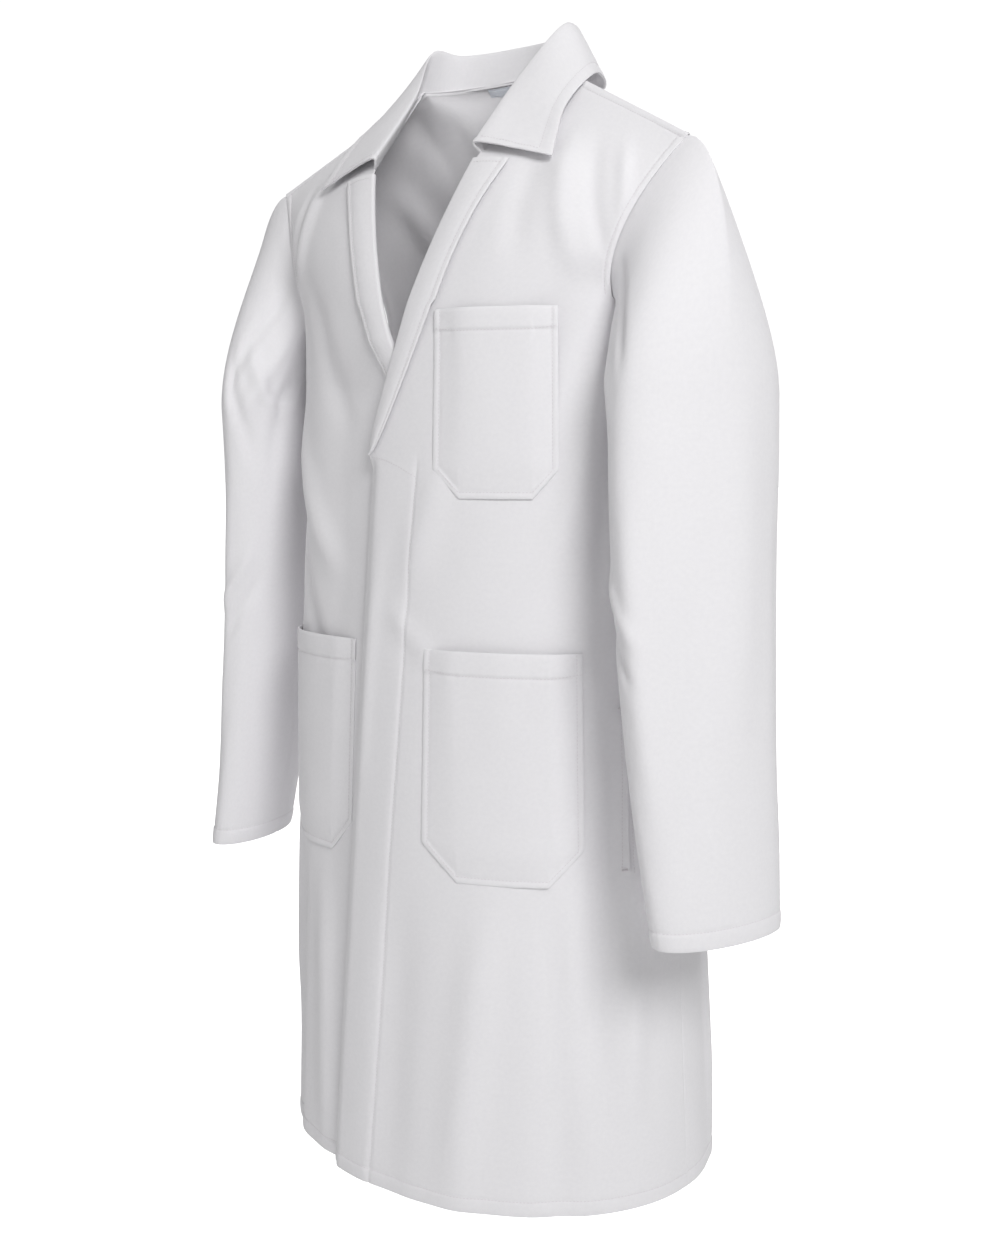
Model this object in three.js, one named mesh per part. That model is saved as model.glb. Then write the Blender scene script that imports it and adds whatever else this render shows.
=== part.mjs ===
// A white lab coat, worn shape: body panels, overlapping fronts with a concealed row of press studs,
// a notched collar, three patch pockets and two set-in sleeves.
//
// Millimetres, +Z up, +X the wearer's left, -Y the wearer's front. Heights in this file are measured
// from the hem; the finished group is lowered so that its origin is at the nape, where the coat hangs.

import * as THREE from 'three';
import { ParametricGeometry } from 'three/addons/geometries/ParametricGeometry.js';
import * as BufferGeometryUtils from 'three/addons/utils/BufferGeometryUtils.js';

// ---------------------------------------------------------------- driving dimensions

// body; a drop is measured down from the nape
const BACK_LENGTH = 1068;
const CHEST_DROP = 268;
const FRONT_RISE = 32;
const HEM_HALF_WIDTH = 229;
const HEM_HALF_DEPTH = 187;
const CHEST_HALF_WIDTH = 205;
const CHEST_HALF_DEPTH = 125;
const CHEST_FORWARD = 30;
const SHOULDER_HALF_WIDTH = 246;
const SHOULDER_DROP = 101;
const SHOULDER_FORWARD = 52;
const NECK_HALF_WIDTH = 82;
const NECK_SIDE_DROP = 14;
const NAPE_BACK = 48;

// front opening, measured on the left front
const BREAK_DROP = 373;
const BREAK_X = -30;
const HEM_EDGE_X = -74;
const GORGE_X = 64;
const GORGE_DROP = 106;
const GORGE_FORWARD = 112;
const OVERLAP = 70;
const DIP_WIDTH = 72;
const CROSSING_GAP = 0.55;
const FLY_WIDTH = 62;
const FACING_WIDTH = 66;
const LAPEL_WIDTH = 34;
const LAPEL_LIFT = 2.6;
const UNDER_LAPEL_LIFT = 1.8;

// collar
const COLLAR_STAND = 32;
const COLLAR_FALL = 52;
const COLLAR_POINT_X = 142;
const COLLAR_POINT_DROP = 118;
const COLLAR_POINT_FORWARD = 108;

// sleeves
const SLEEVE_TOP_DROP = 326;
const SLEEVE_FALL = 463;
const SLEEVE_HEM_X = 298;
const SLEEVE_TOP_X = 263;
const SLEEVE_FORWARD = 70;
const SLEEVE_ELBOW_BACK = 10;
const SLEEVE_HEM_LONG = 70;
const SLEEVE_HEM_SHORT = 31;
const SLEEVE_TOP_LONG = 89;
const SLEEVE_TOP_SHORT = 49;
const SLEEVE_TURN = 0.3;
const ARMHOLE_FRONT_ANGLE = 1.17;
const ARMHOLE_BACK_ANGLE = 2.05;

// pockets
const POCKET_WIDTH = 150;
const POCKET_DEPTH = 212;
const POCKET_DROP = 548;
const POCKET_FROM_CENTRE = 42;
const UNDER_POCKET_FROM_CENTRE = 62;
const POCKET_BEVEL = 34;
const CHEST_POCKET_WIDTH = 122;
const CHEST_POCKET_DEPTH = 168;
const CHEST_POCKET_DROP = 244;
const CHEST_POCKET_FROM_CENTRE = 46;
const CHEST_POCKET_BEVEL = 26;
const POCKET_ROOM = 14;
const POCKET_RIM = 12;

// press studs, one below the other on the fly
const STUD_COUNT = 5;
const STUD_BELOW_BREAK = 55;
const STUD_PITCH = 112;
const STUD_FROM_EDGE = 22;
const CAP_RADIUS = 7.5;
const CAP_THICKNESS = 1.2;
const SOCKET_RADIUS = 5.6;
const SOCKET_THICKNESS = 2.4;
const BALL_RADIUS = 2.1;
const BALL_HEIGHT = 1.6;
const FLANGE_THICKNESS = 0.8;
const FLY_ABOVE = 30;
const FLY_BELOW = 42;
const LAYER_INSET = 3;

// cloth, clearances and joints
const CLOTH = 1.6;
const SEAM_GAP = 0.6;
const EDGE_ROUND = 0.15;
const LAYER_GAP = 0.6;
const FOLD_GAP = 5;
const FOLD_ANGLE = 1.12;
const ARMHOLE_GAP = 1.5;

// small pieces
const LABEL_WIDTH = 58;
const LABEL_HEIGHT = 16;
const LABEL_THICKNESS = 0.8;
const LABEL_DROP = 12;
const LOOP_WIDTH = 62;
const LOOP_THICKNESS = 3;
const LOOP_BAND = 7;
const LOOP_STAND = 9;
const LOOP_FOOT = 8;
const LOOP_BELOW_LABEL = 10;
const TACK_LENGTH = 14;
const TACK_WIDTH = 2.4;
const TACK_THICKNESS = 1;
const VENT_BELOW_POCKET_TOP = 50;
const VENT_LENGTH = 148;

// heights above the hem
const CHEST_HEIGHT = BACK_LENGTH - CHEST_DROP;
const FRONT_TOP = CHEST_HEIGHT + FRONT_RISE;
const BREAK_HEIGHT = BACK_LENGTH - BREAK_DROP;
const GORGE_HEIGHT = BACK_LENGTH - GORGE_DROP;
const COLLAR_POINT_HEIGHT = BACK_LENGTH - COLLAR_POINT_DROP;
const SLEEVE_TOP_HEIGHT = BACK_LENGTH - SLEEVE_TOP_DROP;
const SLEEVE_HEM_HEIGHT = SLEEVE_TOP_HEIGHT - SLEEVE_FALL;
const POCKET_TOP = BACK_LENGTH - POCKET_DROP;
const CHEST_POCKET_TOP = BACK_LENGTH - CHEST_POCKET_DROP;
const STUD_TOP = BREAK_HEIGHT - STUD_BELOW_BREAK;
const VENT_TOP = POCKET_TOP - VENT_BELOW_POCKET_TOP;
const VENT_BOTTOM = VENT_TOP - VENT_LENGTH;

// ---------------------------------------------------------------- materials

const FINISHES = {
  cloth: { color: 0xf1f0f2, roughness: 0.85, metalness: 0 },
  thread: { color: 0xf7f7f8, roughness: 0.7, metalness: 0 },
  label: { color: 0xf6f8fb, roughness: 0.6, metalness: 0 },
  stud: { color: 0xeceded, roughness: 0.35, metalness: 0 },
};

// ---------------------------------------------------------------- helpers

const point = (x, y, z) => new THREE.Vector3(x, y, z);
const mix = THREE.MathUtils.lerp;

function finish(name) {
  return new THREE.MeshStandardMaterial(FINISHES[name]);
}

// Merges shared corners and drops the triangles that closed up at a collapsed edge.
function closed(geometry) {
  geometry.deleteAttribute('normal');
  geometry.deleteAttribute('uv');
  const merged = BufferGeometryUtils.mergeVertices(geometry, 1e-3);
  const index = merged.getIndex().array;
  const kept = [];
  for (let i = 0; i < index.length; i += 3) {
    const [a, b, c] = [index[i], index[i + 1], index[i + 2]];
    if (a !== b && b !== c && c !== a) kept.push(a, b, c);
  }
  merged.setIndex(kept);
  return merged;
}

// Turns a closed geometry inside out when its faces point inwards.
function facingOut(geometry) {
  const index = geometry.getIndex().array;
  const place = geometry.getAttribute('position');
  const [a, b, c] = [point(), point(), point()];
  let volume = 0;
  for (let i = 0; i < index.length; i += 3) {
    a.fromBufferAttribute(place, index[i]);
    b.fromBufferAttribute(place, index[i + 1]);
    c.fromBufferAttribute(place, index[i + 2]);
    volume += a.dot(b.cross(c)) / 6;
  }
  if (volume < 0) index.reverse();
  geometry.computeVertexNormals();
  return geometry;
}

// The unit normal of a surface, from two short steps along it.
function normalOf(surface, u, v) {
  const step = 1e-3;
  const [u0, u1] = [Math.max(0, u - step), Math.min(1, u + step)];
  const [v0, v1] = [Math.max(0, v - step), Math.min(1, v + step)];
  const along = surface(u1, v).sub(surface(u0, v));
  const across = surface(u, v1).sub(surface(u, v0));
  return along.cross(across).normalize();
}

// The unit direction in which v grows.
function lengthwise(surface, u, v) {
  const step = 1e-3;
  return surface(u, Math.min(1, v + step)).sub(surface(u, Math.max(0, v - step))).normalize();
}

function moved(surface, u, v, distance) {
  return surface(u, v).addScaledVector(normalOf(surface, u, v), distance);
}

// A sheet of cloth: two faces, from one offset to another along the normal, closed round all its edges;
// its top and bottom edges are slightly rounded.
function sheet(surface, columns, rows, from, to) {
  const loop = 2 * (columns + 1);
  const wrap = (a, b, target) => {
    const place = Math.round(a * loop) % loop;
    const outer = place <= columns;
    const u = (outer ? place : loop - 1 - place) / columns;
    const row = Math.round(b * (rows + 2)) - 1;
    const v = THREE.MathUtils.clamp(row, 0, rows) / rows;
    const capped = row < 0 || row > rows;
    const middle = (from + to) / 2;
    const offset = capped ? middle : outer ? to : from;
    target.copy(moved(surface, u, v, offset));
    if (capped) target.addScaledVector(lengthwise(surface, u, v), row < 0 ? -EDGE_ROUND : EDGE_ROUND);
  };
  return facingOut(closed(new ParametricGeometry(wrap, loop, rows + 2)));
}

// An open-ended tube with a wall: the profile runs down the outside and back up the inside.
function openTube(surface, sides, rows, wall) {
  const loop = 2 * (rows + 1);
  const wrap = (a, b, target) => {
    const u = (Math.round(a * sides) % sides) / sides;
    const place = Math.round(b * loop) % loop;
    const outer = place <= rows;
    const v = (outer ? place : loop - 1 - place) / rows;
    target.copy(outer ? surface(u, v, 0) : surface(u, v, wall));
  };
  return facingOut(closed(new ParametricGeometry(wrap, sides, loop)));
}

function cubic(a, b, c, d, t) {
  const s = 1 - t;
  return a.clone().multiplyScalar(s * s * s)
    .addScaledVector(b, 3 * s * s * t)
    .addScaledVector(c, 3 * s * t * t)
    .addScaledVector(d, t * t * t);
}

function part(surfaceOf, u0, u1, v0, v1) {
  return (u, v) => surfaceOf(mix(u0, u1, u), mix(v0, v1, v));
}

// ---------------------------------------------------------------- the body's surface

const SIDE = Math.PI / 2;
const NECK_HEIGHT = BACK_LENGTH - NECK_SIDE_DROP;
const SHOULDER_HEIGHT = BACK_LENGTH - SHOULDER_DROP;
const neckPoint = point(NECK_HALF_WIDTH, -SHOULDER_FORWARD * 0.35, NECK_HEIGHT);
const shoulderPoint = point(SHOULDER_HALF_WIDTH, -SHOULDER_FORWARD, SHOULDER_HEIGHT);
const gorge = point(GORGE_X, -GORGE_FORWARD, GORGE_HEIGHT);
const nape = point(0, NAPE_BACK, BACK_LENGTH);

// The body is straight from hem to chest: each level is an ellipse between those two.
function level(height) {
  const t = height / CHEST_HEIGHT;
  return {
    width: mix(HEM_HALF_WIDTH, CHEST_HALF_WIDTH, t),
    depth: mix(HEM_HALF_DEPTH, CHEST_HALF_DEPTH, t),
    middle: -CHEST_FORWARD * t,
  };
}

// Angle 0 is the centre front, a quarter turn the wearer's left side, a half turn the centre back.
function bodyPoint(angle, height) {
  const ring = level(height);
  return point(ring.width * Math.sin(angle), ring.middle - ring.depth * Math.cos(angle), height);
}

function angleAt(x, height) {
  return Math.asin(x / level(height).width);
}

function edgeX(height) {
  return mix(HEM_EDGE_X, BREAK_X, height / BREAK_HEIGHT);
}

const breakPoint = bodyPoint(angleAt(BREAK_X, BREAK_HEIGHT), BREAK_HEIGHT);

// The curves' handles: how far each inner control point stands from the end that it belongs to.
const ROLL_BOW = point(0, -25, 0);
const ARMHOLE_HANDLES = {
  front: [point(2, -22, 36), point(-34, -26, -46)],
  back: [point(2, 36, 52), point(-26, 74, -34)],
};
const CHEST_HANDLES = [point(0, -2, 80), point(6, -62, -50)];
const NECK_HANDLES = [point(NECK_HALF_WIDTH * 0.62, 0, 0), point(0, 34, 5)];
const BACK_HANDLES = [point(0, 10, 130), point(4, 34, -34)];
const BACK_HANDLE_TURN = point(0, 26, 26);

function handled(start, end, [low, high], t) {
  return cubic(start, start.clone().add(low), end.clone().add(high), end, t);
}

// The roll line climbs from the break point to the gorge, bowed forward over the chest.
function rollLine(t) {
  const low = breakPoint.clone().lerp(gorge, 1 / 3).add(ROLL_BOW);
  const high = breakPoint.clone().lerp(gorge, 2 / 3).add(ROLL_BOW);
  return cubic(breakPoint, low, high, gorge, t);
}

// The share of the roll line that lies below the front's top, and the chest's rise at the gorge.
const ROLL_AT_TOP = (FRONT_TOP - BREAK_HEIGHT) / (GORGE_HEIGHT - BREAK_HEIGHT);
const GORGE_RISE = 0.62;

function innerX(height) {
  if (height <= BREAK_HEIGHT) return edgeX(height);
  const t = (height - BREAK_HEIGHT) / (FRONT_TOP - BREAK_HEIGHT);
  return mix(BREAK_X, rollLine(ROLL_AT_TOP).x, t);
}

function armholeFront(t) {
  return handled(bodyPoint(ARMHOLE_FRONT_ANGLE, FRONT_TOP), shoulderPoint, ARMHOLE_HANDLES.front, t);
}

function armholeBack(t) {
  return handled(bodyPoint(ARMHOLE_BACK_ANGLE, CHEST_HEIGHT), shoulderPoint, ARMHOLE_HANDLES.back, t);
}

// The chest above the front's top, from the roll line (across 0) to the armhole (across 1).
function frontShape(across, rise) {
  const inner = angleAt(innerX(FRONT_TOP), FRONT_TOP);
  const start = bodyPoint(mix(inner, ARMHOLE_FRONT_ANGLE, across), FRONT_TOP);
  return handled(start, neckPoint.clone().lerp(shoulderPoint, across), CHEST_HANDLES, rise);
}

function rollEdge(rise) {
  if (rise < GORGE_RISE) return rollLine(mix(ROLL_AT_TOP, 1, rise / GORGE_RISE));
  return gorge.clone().lerp(neckPoint, (rise - GORGE_RISE) / (1 - GORGE_RISE));
}

function frontChest(across, rise) {
  const inner = rollEdge(rise).sub(frontShape(0, rise));
  const outer = armholeFront(rise).sub(frontShape(1, rise));
  return frontShape(across, rise)
    .addScaledVector(inner, (1 - across) ** 2)
    .addScaledVector(outer, across ** 3);
}

// The back above the underarm, from the centre (across 0) to the armhole (across 1).
const NECK_SHARE = NECK_HALF_WIDTH / SHOULDER_HALF_WIDTH;

function backNeck(t) {
  return handled(nape, neckPoint, NECK_HANDLES, t);
}

function backTop(across) {
  if (across <= NECK_SHARE) return backNeck(across / NECK_SHARE);
  return neckPoint.clone().lerp(shoulderPoint, (across - NECK_SHARE) / (1 - NECK_SHARE));
}

function backShape(across, rise) {
  const start = bodyPoint(mix(2 * SIDE, ARMHOLE_BACK_ANGLE, across), CHEST_HEIGHT);
  const [low, high] = BACK_HANDLES;
  const turned = high.clone().addScaledVector(BACK_HANDLE_TURN, across);
  return handled(start, backTop(across), [low, turned], rise);
}

function backChest(across, rise) {
  const outer = armholeBack(rise).sub(backShape(1, rise));
  return backShape(across, rise).addScaledVector(outer, across ** 3);
}

// ---------------------------------------------------------------- layers at the front overlap

// Depths below the left front's outer face, from the outside in.
const CAP_DEPTH = CLOTH + LAYER_GAP;
const FLY_DEPTH = CAP_DEPTH + CAP_THICKNESS + LAYER_GAP;
const SOCKET_DEPTH = FLY_DEPTH + CLOTH + LAYER_GAP;
const BALL_DEPTH = SOCKET_DEPTH + SOCKET_THICKNESS + LAYER_GAP;
const FLANGE_DEPTH = BALL_DEPTH + BALL_HEIGHT;
const UNDER_DEPTH = FLANGE_DEPTH + FLANGE_THICKNESS + LAYER_GAP;
const FACING_DEPTH = UNDER_DEPTH + CLOTH + LAYER_GAP;
const POST_DEPTH = FACING_DEPTH + CLOTH + LAYER_GAP;

// The under front is level with the body at its side and dips below the overlap; it comes back up
// where the fronts part at the chest.
const DIP_END_X = HEM_EDGE_X - 8;
const DIP_START_X = DIP_END_X - DIP_WIDTH;

// The height over which the dip fades, so that at the foot of the V it still clears both fronts and
// the lapel between them.
const V_SHARE = BREAK_X / (BREAK_X - rollLine(ROLL_AT_TOP).x);
const V_HEIGHT = mix(BREAK_HEIGHT, FRONT_TOP, V_SHARE);
const V_DEPTH = 2 * CLOTH + UNDER_LAPEL_LIFT + CROSSING_GAP;
const CROSSING_HEIGHT = (CHEST_HEIGHT - V_HEIGHT) * (UNDER_DEPTH / V_DEPTH);

function underDip(x, height) {
  const under = THREE.MathUtils.smoothstep(x, DIP_START_X, DIP_END_X);
  const crossing = THREE.MathUtils.clamp(1 - (CHEST_HEIGHT - height) / CROSSING_HEIGHT, 0, 1);
  return UNDER_DEPTH * under * (1 - crossing);
}

// ---------------------------------------------------------------- the panels' surfaces

// Fronts below the chest: u 0 is the free edge, u 1 the fold line beside the pocket; v 0 is the hem.
function leftFront(u, v) {
  const height = FRONT_TOP * v;
  return bodyPoint(mix(angleAt(innerX(height), height), FOLD_ANGLE, u), height);
}

function underInnerX(height) {
  if (height <= BREAK_HEIGHT) return edgeX(height) + OVERLAP;
  const t = (height - BREAK_HEIGHT) / (FRONT_TOP - BREAK_HEIGHT);
  return mix(BREAK_X + OVERLAP, -rollLine(ROLL_AT_TOP).x, t);
}

function underPoint(angle, height) {
  const p = bodyPoint(angle, height);
  const middle = point(0, level(height).middle, height);
  const inward = middle.sub(p).normalize();
  return p.addScaledVector(inward, underDip(p.x, height));
}

function rightFront(u, v) {
  const height = FRONT_TOP * v;
  return underPoint(mix(angleAt(underInnerX(height), height), -FOLD_ANGLE, u), height);
}

// The front between the fold line and the side seam; its top slopes down to the underarm.
const UNDERARM_ANGLE = 1.35;

function sideTop(angle) {
  const t = (angle - ARMHOLE_FRONT_ANGLE) / (UNDERARM_ANGLE - ARMHOLE_FRONT_ANGLE);
  return mix(FRONT_TOP, CHEST_HEIGHT, THREE.MathUtils.clamp(t, 0, 1));
}

function frontSide(u, v) {
  const start = FOLD_ANGLE + FOLD_GAP / HEM_HALF_WIDTH;
  const end = SIDE - SEAM_GAP / HEM_HALF_WIDTH;
  const edge = (ARMHOLE_FRONT_ANGLE - start) / (end - start);
  const split = 0.25;
  const share = u < split ? mix(0, edge, u / split) : mix(edge, 1, (u - split) / (1 - split));
  const angle = mix(start, end, share);
  return bodyPoint(angle, sideTop(angle) * v);
}

// The back from the centre seam (u 0) to the side seam and the armhole (u 1), hem to shoulder.
function backLow(u, v) {
  const seam = SEAM_GAP / HEM_HALF_WIDTH;
  return bodyPoint(mix(2 * SIDE - seam, SIDE + seam, u), CHEST_HEIGHT * v);
}

function backHigh(u, v) {
  return backChest(mix(SEAM_GAP / SHOULDER_HALF_WIDTH, 1, u), v);
}

// A strip along an edge of the front, at a depth below the outer face.
function strip(fromX, width, bottom, top) {
  return (u, v) => {
    const height = mix(bottom, top, v);
    const x = fromX(height) + width * u;
    return bodyPoint(angleAt(x, height), height);
  };
}

// The body's surface on the left, and on the right the under front's, drawn as its mirror image.
function skinPoint(side, angle, height) {
  return side > 0 ? bodyPoint(angle, height) : underPoint(-angle, height).multiply(point(-1, 1, 1));
}

// The skin along the roll line: distance outward from the roll, at a share of the lapel's length.
function lapelSkin(side, distance, share) {
  const height = mix(BREAK_HEIGHT, GORGE_HEIGHT, share);
  if (height <= FRONT_TOP) {
    return skinPoint(side, angleAt(innerX(height), height) + distance / CHEST_HALF_WIDTH, height);
  }
  const rise = GORGE_RISE * (share - ROLL_AT_TOP) / (1 - ROLL_AT_TOP);
  return frontChest(distance / CHEST_HALF_WIDTH, rise);
}

// The turned-back lapel narrows from the gorge to the break; one row of its corners lies at the
// front's top.
const LAPEL_LOW_ROWS = 0.4;
const LAPEL_FROM = 0.02;
const LAPEL_TO = 0.97;
const LAPEL_LEAST_WIDTH = 3;

function lapel(side) {
  return (u, v) => {
    const share = v < LAPEL_LOW_ROWS
      ? mix(LAPEL_FROM, ROLL_AT_TOP, v / LAPEL_LOW_ROWS)
      : mix(ROLL_AT_TOP, LAPEL_TO, (v - LAPEL_LOW_ROWS) / (1 - LAPEL_LOW_ROWS));
    const width = LAPEL_LEAST_WIDTH + LAPEL_WIDTH * Math.sqrt(share);
    return lapelSkin(side, width * u, share);
  };
}

// A patch on the front: u runs outward from the inner edge, v down from the mouth. Its middle stands
// off the front by its room; its sides and bottom come back to the cloth.
function patch(size, side) {
  const radius = (CHEST_HALF_WIDTH + HEM_HALF_DEPTH) / 2;
  const spread = (t, share) => {
    if (t < 1 / 8) return 8 * t * share;
    if (t > 7 / 8) return 1 - 8 * (1 - t) * share;
    return mix(share, 1 - share, (t - 1 / 8) / (6 / 8));
  };
  return (a, b) => {
    const rim = POCKET_RIM / size.depth;
    const u = spread(a, POCKET_RIM / size.width);
    const v = b < 7 / 8 ? mix(0, 1 - rim, b * 8 / 7) : spread(b, rim);
    const toSide = size.width * Math.min(u, 1 - u);
    const cut = Math.max(0, size.bevel - toSide);
    const depth = size.depth - cut;
    const toEdge = Math.min(toSide, depth * (1 - v));
    const lift = LAYER_GAP + POCKET_ROOM * Math.min(1, toEdge / POCKET_RIM);
    const start = angleAt(size.inner, size.top);
    const skin = (s, t) => skinPoint(side, start + s * size.width / radius, size.top - t * depth);
    return skin(u, v).addScaledVector(normalOf(skin, u, v), -lift);
  };
}

const LEFT_POCKET = {
  width: POCKET_WIDTH,
  depth: POCKET_DEPTH,
  top: POCKET_TOP,
  inner: POCKET_FROM_CENTRE,
  bevel: POCKET_BEVEL,
};
const RIGHT_POCKET = { ...LEFT_POCKET, inner: UNDER_POCKET_FROM_CENTRE };
const CHEST_POCKET = {
  width: CHEST_POCKET_WIDTH,
  depth: CHEST_POCKET_DEPTH,
  top: CHEST_POCKET_TOP,
  inner: CHEST_POCKET_FROM_CENTRE,
  bevel: CHEST_POCKET_BEVEL,
};

// ---------------------------------------------------------------- sleeve and collar surfaces

// Once round the armhole from the underarm: forward and up to the shoulder, then down the back.
const UNDERARM_ARC = 0.11;

function armhole(turn) {
  if (turn < UNDERARM_ARC) {
    const angle = mix(SIDE, ARMHOLE_FRONT_ANGLE, turn / UNDERARM_ARC);
    return bodyPoint(angle, sideTop(angle));
  }
  const rise = 0.5 - UNDERARM_ARC;
  if (turn < 0.5) return armholeFront((turn - UNDERARM_ARC) / rise);
  if (turn < 1 - UNDERARM_ARC) return armholeBack((1 - UNDERARM_ARC - turn) / rise);
  const angle = mix(ARMHOLE_BACK_ANGLE, SIDE, (turn - 1 + UNDERARM_ARC) / UNDERARM_ARC);
  return bodyPoint(angle, CHEST_HEIGHT);
}

const CAP_SHARE = 0.34;

function sleeveRing(turn, drop) {
  const long = mix(SLEEVE_TOP_LONG, SLEEVE_HEM_LONG, drop);
  const short = mix(SLEEVE_TOP_SHORT, SLEEVE_HEM_SHORT, drop);
  const [out, fore] = [-short * Math.cos(2 * Math.PI * turn), -long * Math.sin(2 * Math.PI * turn)];
  const x = mix(SLEEVE_TOP_X, SLEEVE_HEM_X, drop);
  const y = -mix(SHOULDER_FORWARD + 8, SLEEVE_FORWARD, drop) + SLEEVE_ELBOW_BACK * 4 * drop * (1 - drop);
  return point(
    x + out * Math.cos(SLEEVE_TURN) + fore * Math.sin(SLEEVE_TURN),
    y - out * Math.sin(SLEEVE_TURN) + fore * Math.cos(SLEEVE_TURN),
    mix(SLEEVE_TOP_HEIGHT, SLEEVE_HEM_HEIGHT, drop),
  );
}

// Wall 0 is the sleeve's outer face; a wall above that steps in from it towards the sleeve's middle.
function sleeve(turn, v, wall) {
  const crown = 0.5 - 0.5 * Math.cos(2 * Math.PI * turn);
  const edge = armhole(turn).add(point(ARMHOLE_GAP, 0, -ARMHOLE_GAP));
  const ring = sleeveRing(turn, 0);
  const low = edge.clone().add(point(6 + 28 * crown, 0, -16 + 16 * crown));
  const high = ring.clone().add(point(0, 0, 14 + 90 * crown));
  const inCap = v < CAP_SHARE;
  const t = v / CAP_SHARE;
  const p = inCap ? cubic(edge, low, high, ring, t) : sleeveRing(turn, (v - CAP_SHARE) / (1 - CAP_SHARE));
  const middle = inCap
    ? point(mix(edge.x, ring.x, t), mix(-SHOULDER_FORWARD, sleeveMiddle(0).y, t), p.z - 8 * (1 - t))
    : sleeveMiddle((v - CAP_SHARE) / (1 - CAP_SHARE));
  const inward = middle.sub(p).normalize();
  return p.addScaledVector(inward, wall);
}

function sleeveMiddle(drop) {
  return sleeveRing(0, drop).add(sleeveRing(0.5, drop)).multiplyScalar(0.5);
}

// The collar's three lines, from the centre back to the front end on one side: where it is sewn on,
// where it folds, and its outer edge.
const COLLAR_TOP = BACK_LENGTH + COLLAR_STAND;
const COLLAR_REACH = 34;
const half = {
  sewn: [
    nape.clone().add(point(0, 0, 2)),
    backNeck(0.6).add(point(0, 0, 2)),
    neckPoint.clone().add(point(-1, 0, 3)),
    neckPoint.clone().lerp(gorge, 0.5).add(point(-3, -2, 3)),
    gorge.clone().add(point(-2, -2, 3)),
  ],
  fold: [
    nape.clone().add(point(0, 6, COLLAR_STAND)),
    backNeck(0.6).add(point(4, 10, COLLAR_STAND + 3)),
    point(NECK_HALF_WIDTH - 1, -2, COLLAR_TOP - 4),
    point(NECK_HALF_WIDTH - 16, -52, NECK_HEIGHT - 12),
    gorge.clone().add(point(2, -8, 6)),
  ],
  edge: [
    point(0, NAPE_BACK + 28, COLLAR_TOP - COLLAR_FALL),
    point(NECK_HALF_WIDTH, NAPE_BACK + 10, COLLAR_TOP - COLLAR_FALL - 2),
    point(NECK_HALF_WIDTH + COLLAR_REACH, -2, NECK_HEIGHT - 8),
    point((NECK_HALF_WIDTH + COLLAR_REACH + COLLAR_POINT_X) / 2, -70, (NECK_HEIGHT + COLLAR_POINT_HEIGHT) / 2),
    point(COLLAR_POINT_X, -COLLAR_POINT_FORWARD, COLLAR_POINT_HEIGHT),
  ],
};

function bothSides(points) {
  const other = points.slice(1).reverse().map((p) => point(-p.x, p.y, p.z));
  return new THREE.CatmullRomCurve3([...other, ...points]);
}

const sewnLine = bothSides(half.sewn);
const foldLine = bothSides(half.fold);
const edgeLine = bothSides(half.edge);

// u runs from the wearer's right end to the left end, v from the neck seam over the fold to the edge.
function collar(u, v) {
  const [a, b, c] = [sewnLine.getPoint(u), foldLine.getPoint(u), edgeLine.getPoint(u)];
  const top = b.multiplyScalar(8).sub(a).sub(c).multiplyScalar(1 / 6);
  return cubic(a, top, top, c, v);
}

// ---------------------------------------------------------------- the assembly

const coat = new THREE.Group();

function add(name, geometry, look) {
  const mesh = new THREE.Mesh(geometry, finish(look));
  mesh.name = name;
  coat.add(mesh);
  return mesh;
}

// A surface on the wearer's left, or its mirror image on the right; its faces keep their depths.
function onSide(side, surface) {
  if (side > 0) return surface;
  return (u, v) => surface(u, v).multiply(point(-1, 1, 1));
}

// Depths count inward from the surface; a surface whose normal points in takes them as they are.
function cloth(name, surface, columns, rows, depth, inward) {
  const sign = inward ? 1 : -1;
  add(name, sheet(surface, columns, rows, sign * (depth + CLOTH), sign * depth), 'cloth');
}

const lowerPart = 1 - FOLD_GAP / FRONT_TOP;
cloth('left_front', part(leftFront, 0, 1, 0, lowerPart), 12, 8, 0, false);
const closeRows = (v) => (v < 0.6 ? 1.5 * v : 0.9 + (v - 0.6) / 4);
cloth('right_front', (u, v) => rightFront(u, lowerPart * closeRows(v)), 14, 10, 0, true);

for (const [name, side] of [['left', 1], ['right', -1]]) {
  const inward = side < 0;
  const seamTop = 1 - SEAM_GAP / CHEST_HEIGHT;
  const chestStart = SEAM_GAP / (BACK_LENGTH - CHEST_HEIGHT);
  const frontStart = 2 * SEAM_GAP / (BACK_LENGTH - FRONT_TOP);
  cloth(`${name}_front_side`, onSide(side, part(frontSide, 0, 1, 0, seamTop)), 8, 8, 0, inward);
  cloth(`${name}_front_chest`, onSide(side, part(frontChest, 0, 1, frontStart, 0.99)), 10, 8, 0, inward);
  cloth(`${name}_back`, onSide(side, part(backLow, 0, 1, 0, seamTop)), 10, 8, 0, !inward);
  cloth(`${name}_back_chest`, onSide(side, part(backHigh, 0, 1, chestStart, 0.97)), 12, 8, 0, !inward);
  const lift = side > 0 ? LAPEL_LIFT : UNDER_LAPEL_LIFT;
  cloth(`${name}_lapel`, onSide(side, lapel(side)), 2, 10, -lift - CLOTH, inward);
  const sleeveSkin = (u, v, wall) => sleeve(side > 0 ? u : 1 - u, v, wall).multiply(point(side, 1, 1));
  add(`${name}_sleeve`, openTube(sleeveSkin, 20, 12, CLOTH), 'cloth');
  const pouch = onSide(side, patch(side > 0 ? LEFT_POCKET : RIGHT_POCKET, side));
  add(`${name}_lower_pocket`, sheet(pouch, 8, 8, 0, -side * CLOTH), 'cloth');
}
add('chest_pocket', sheet(patch(CHEST_POCKET, 1), 8, 8, 0, -CLOTH), 'cloth');

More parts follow.
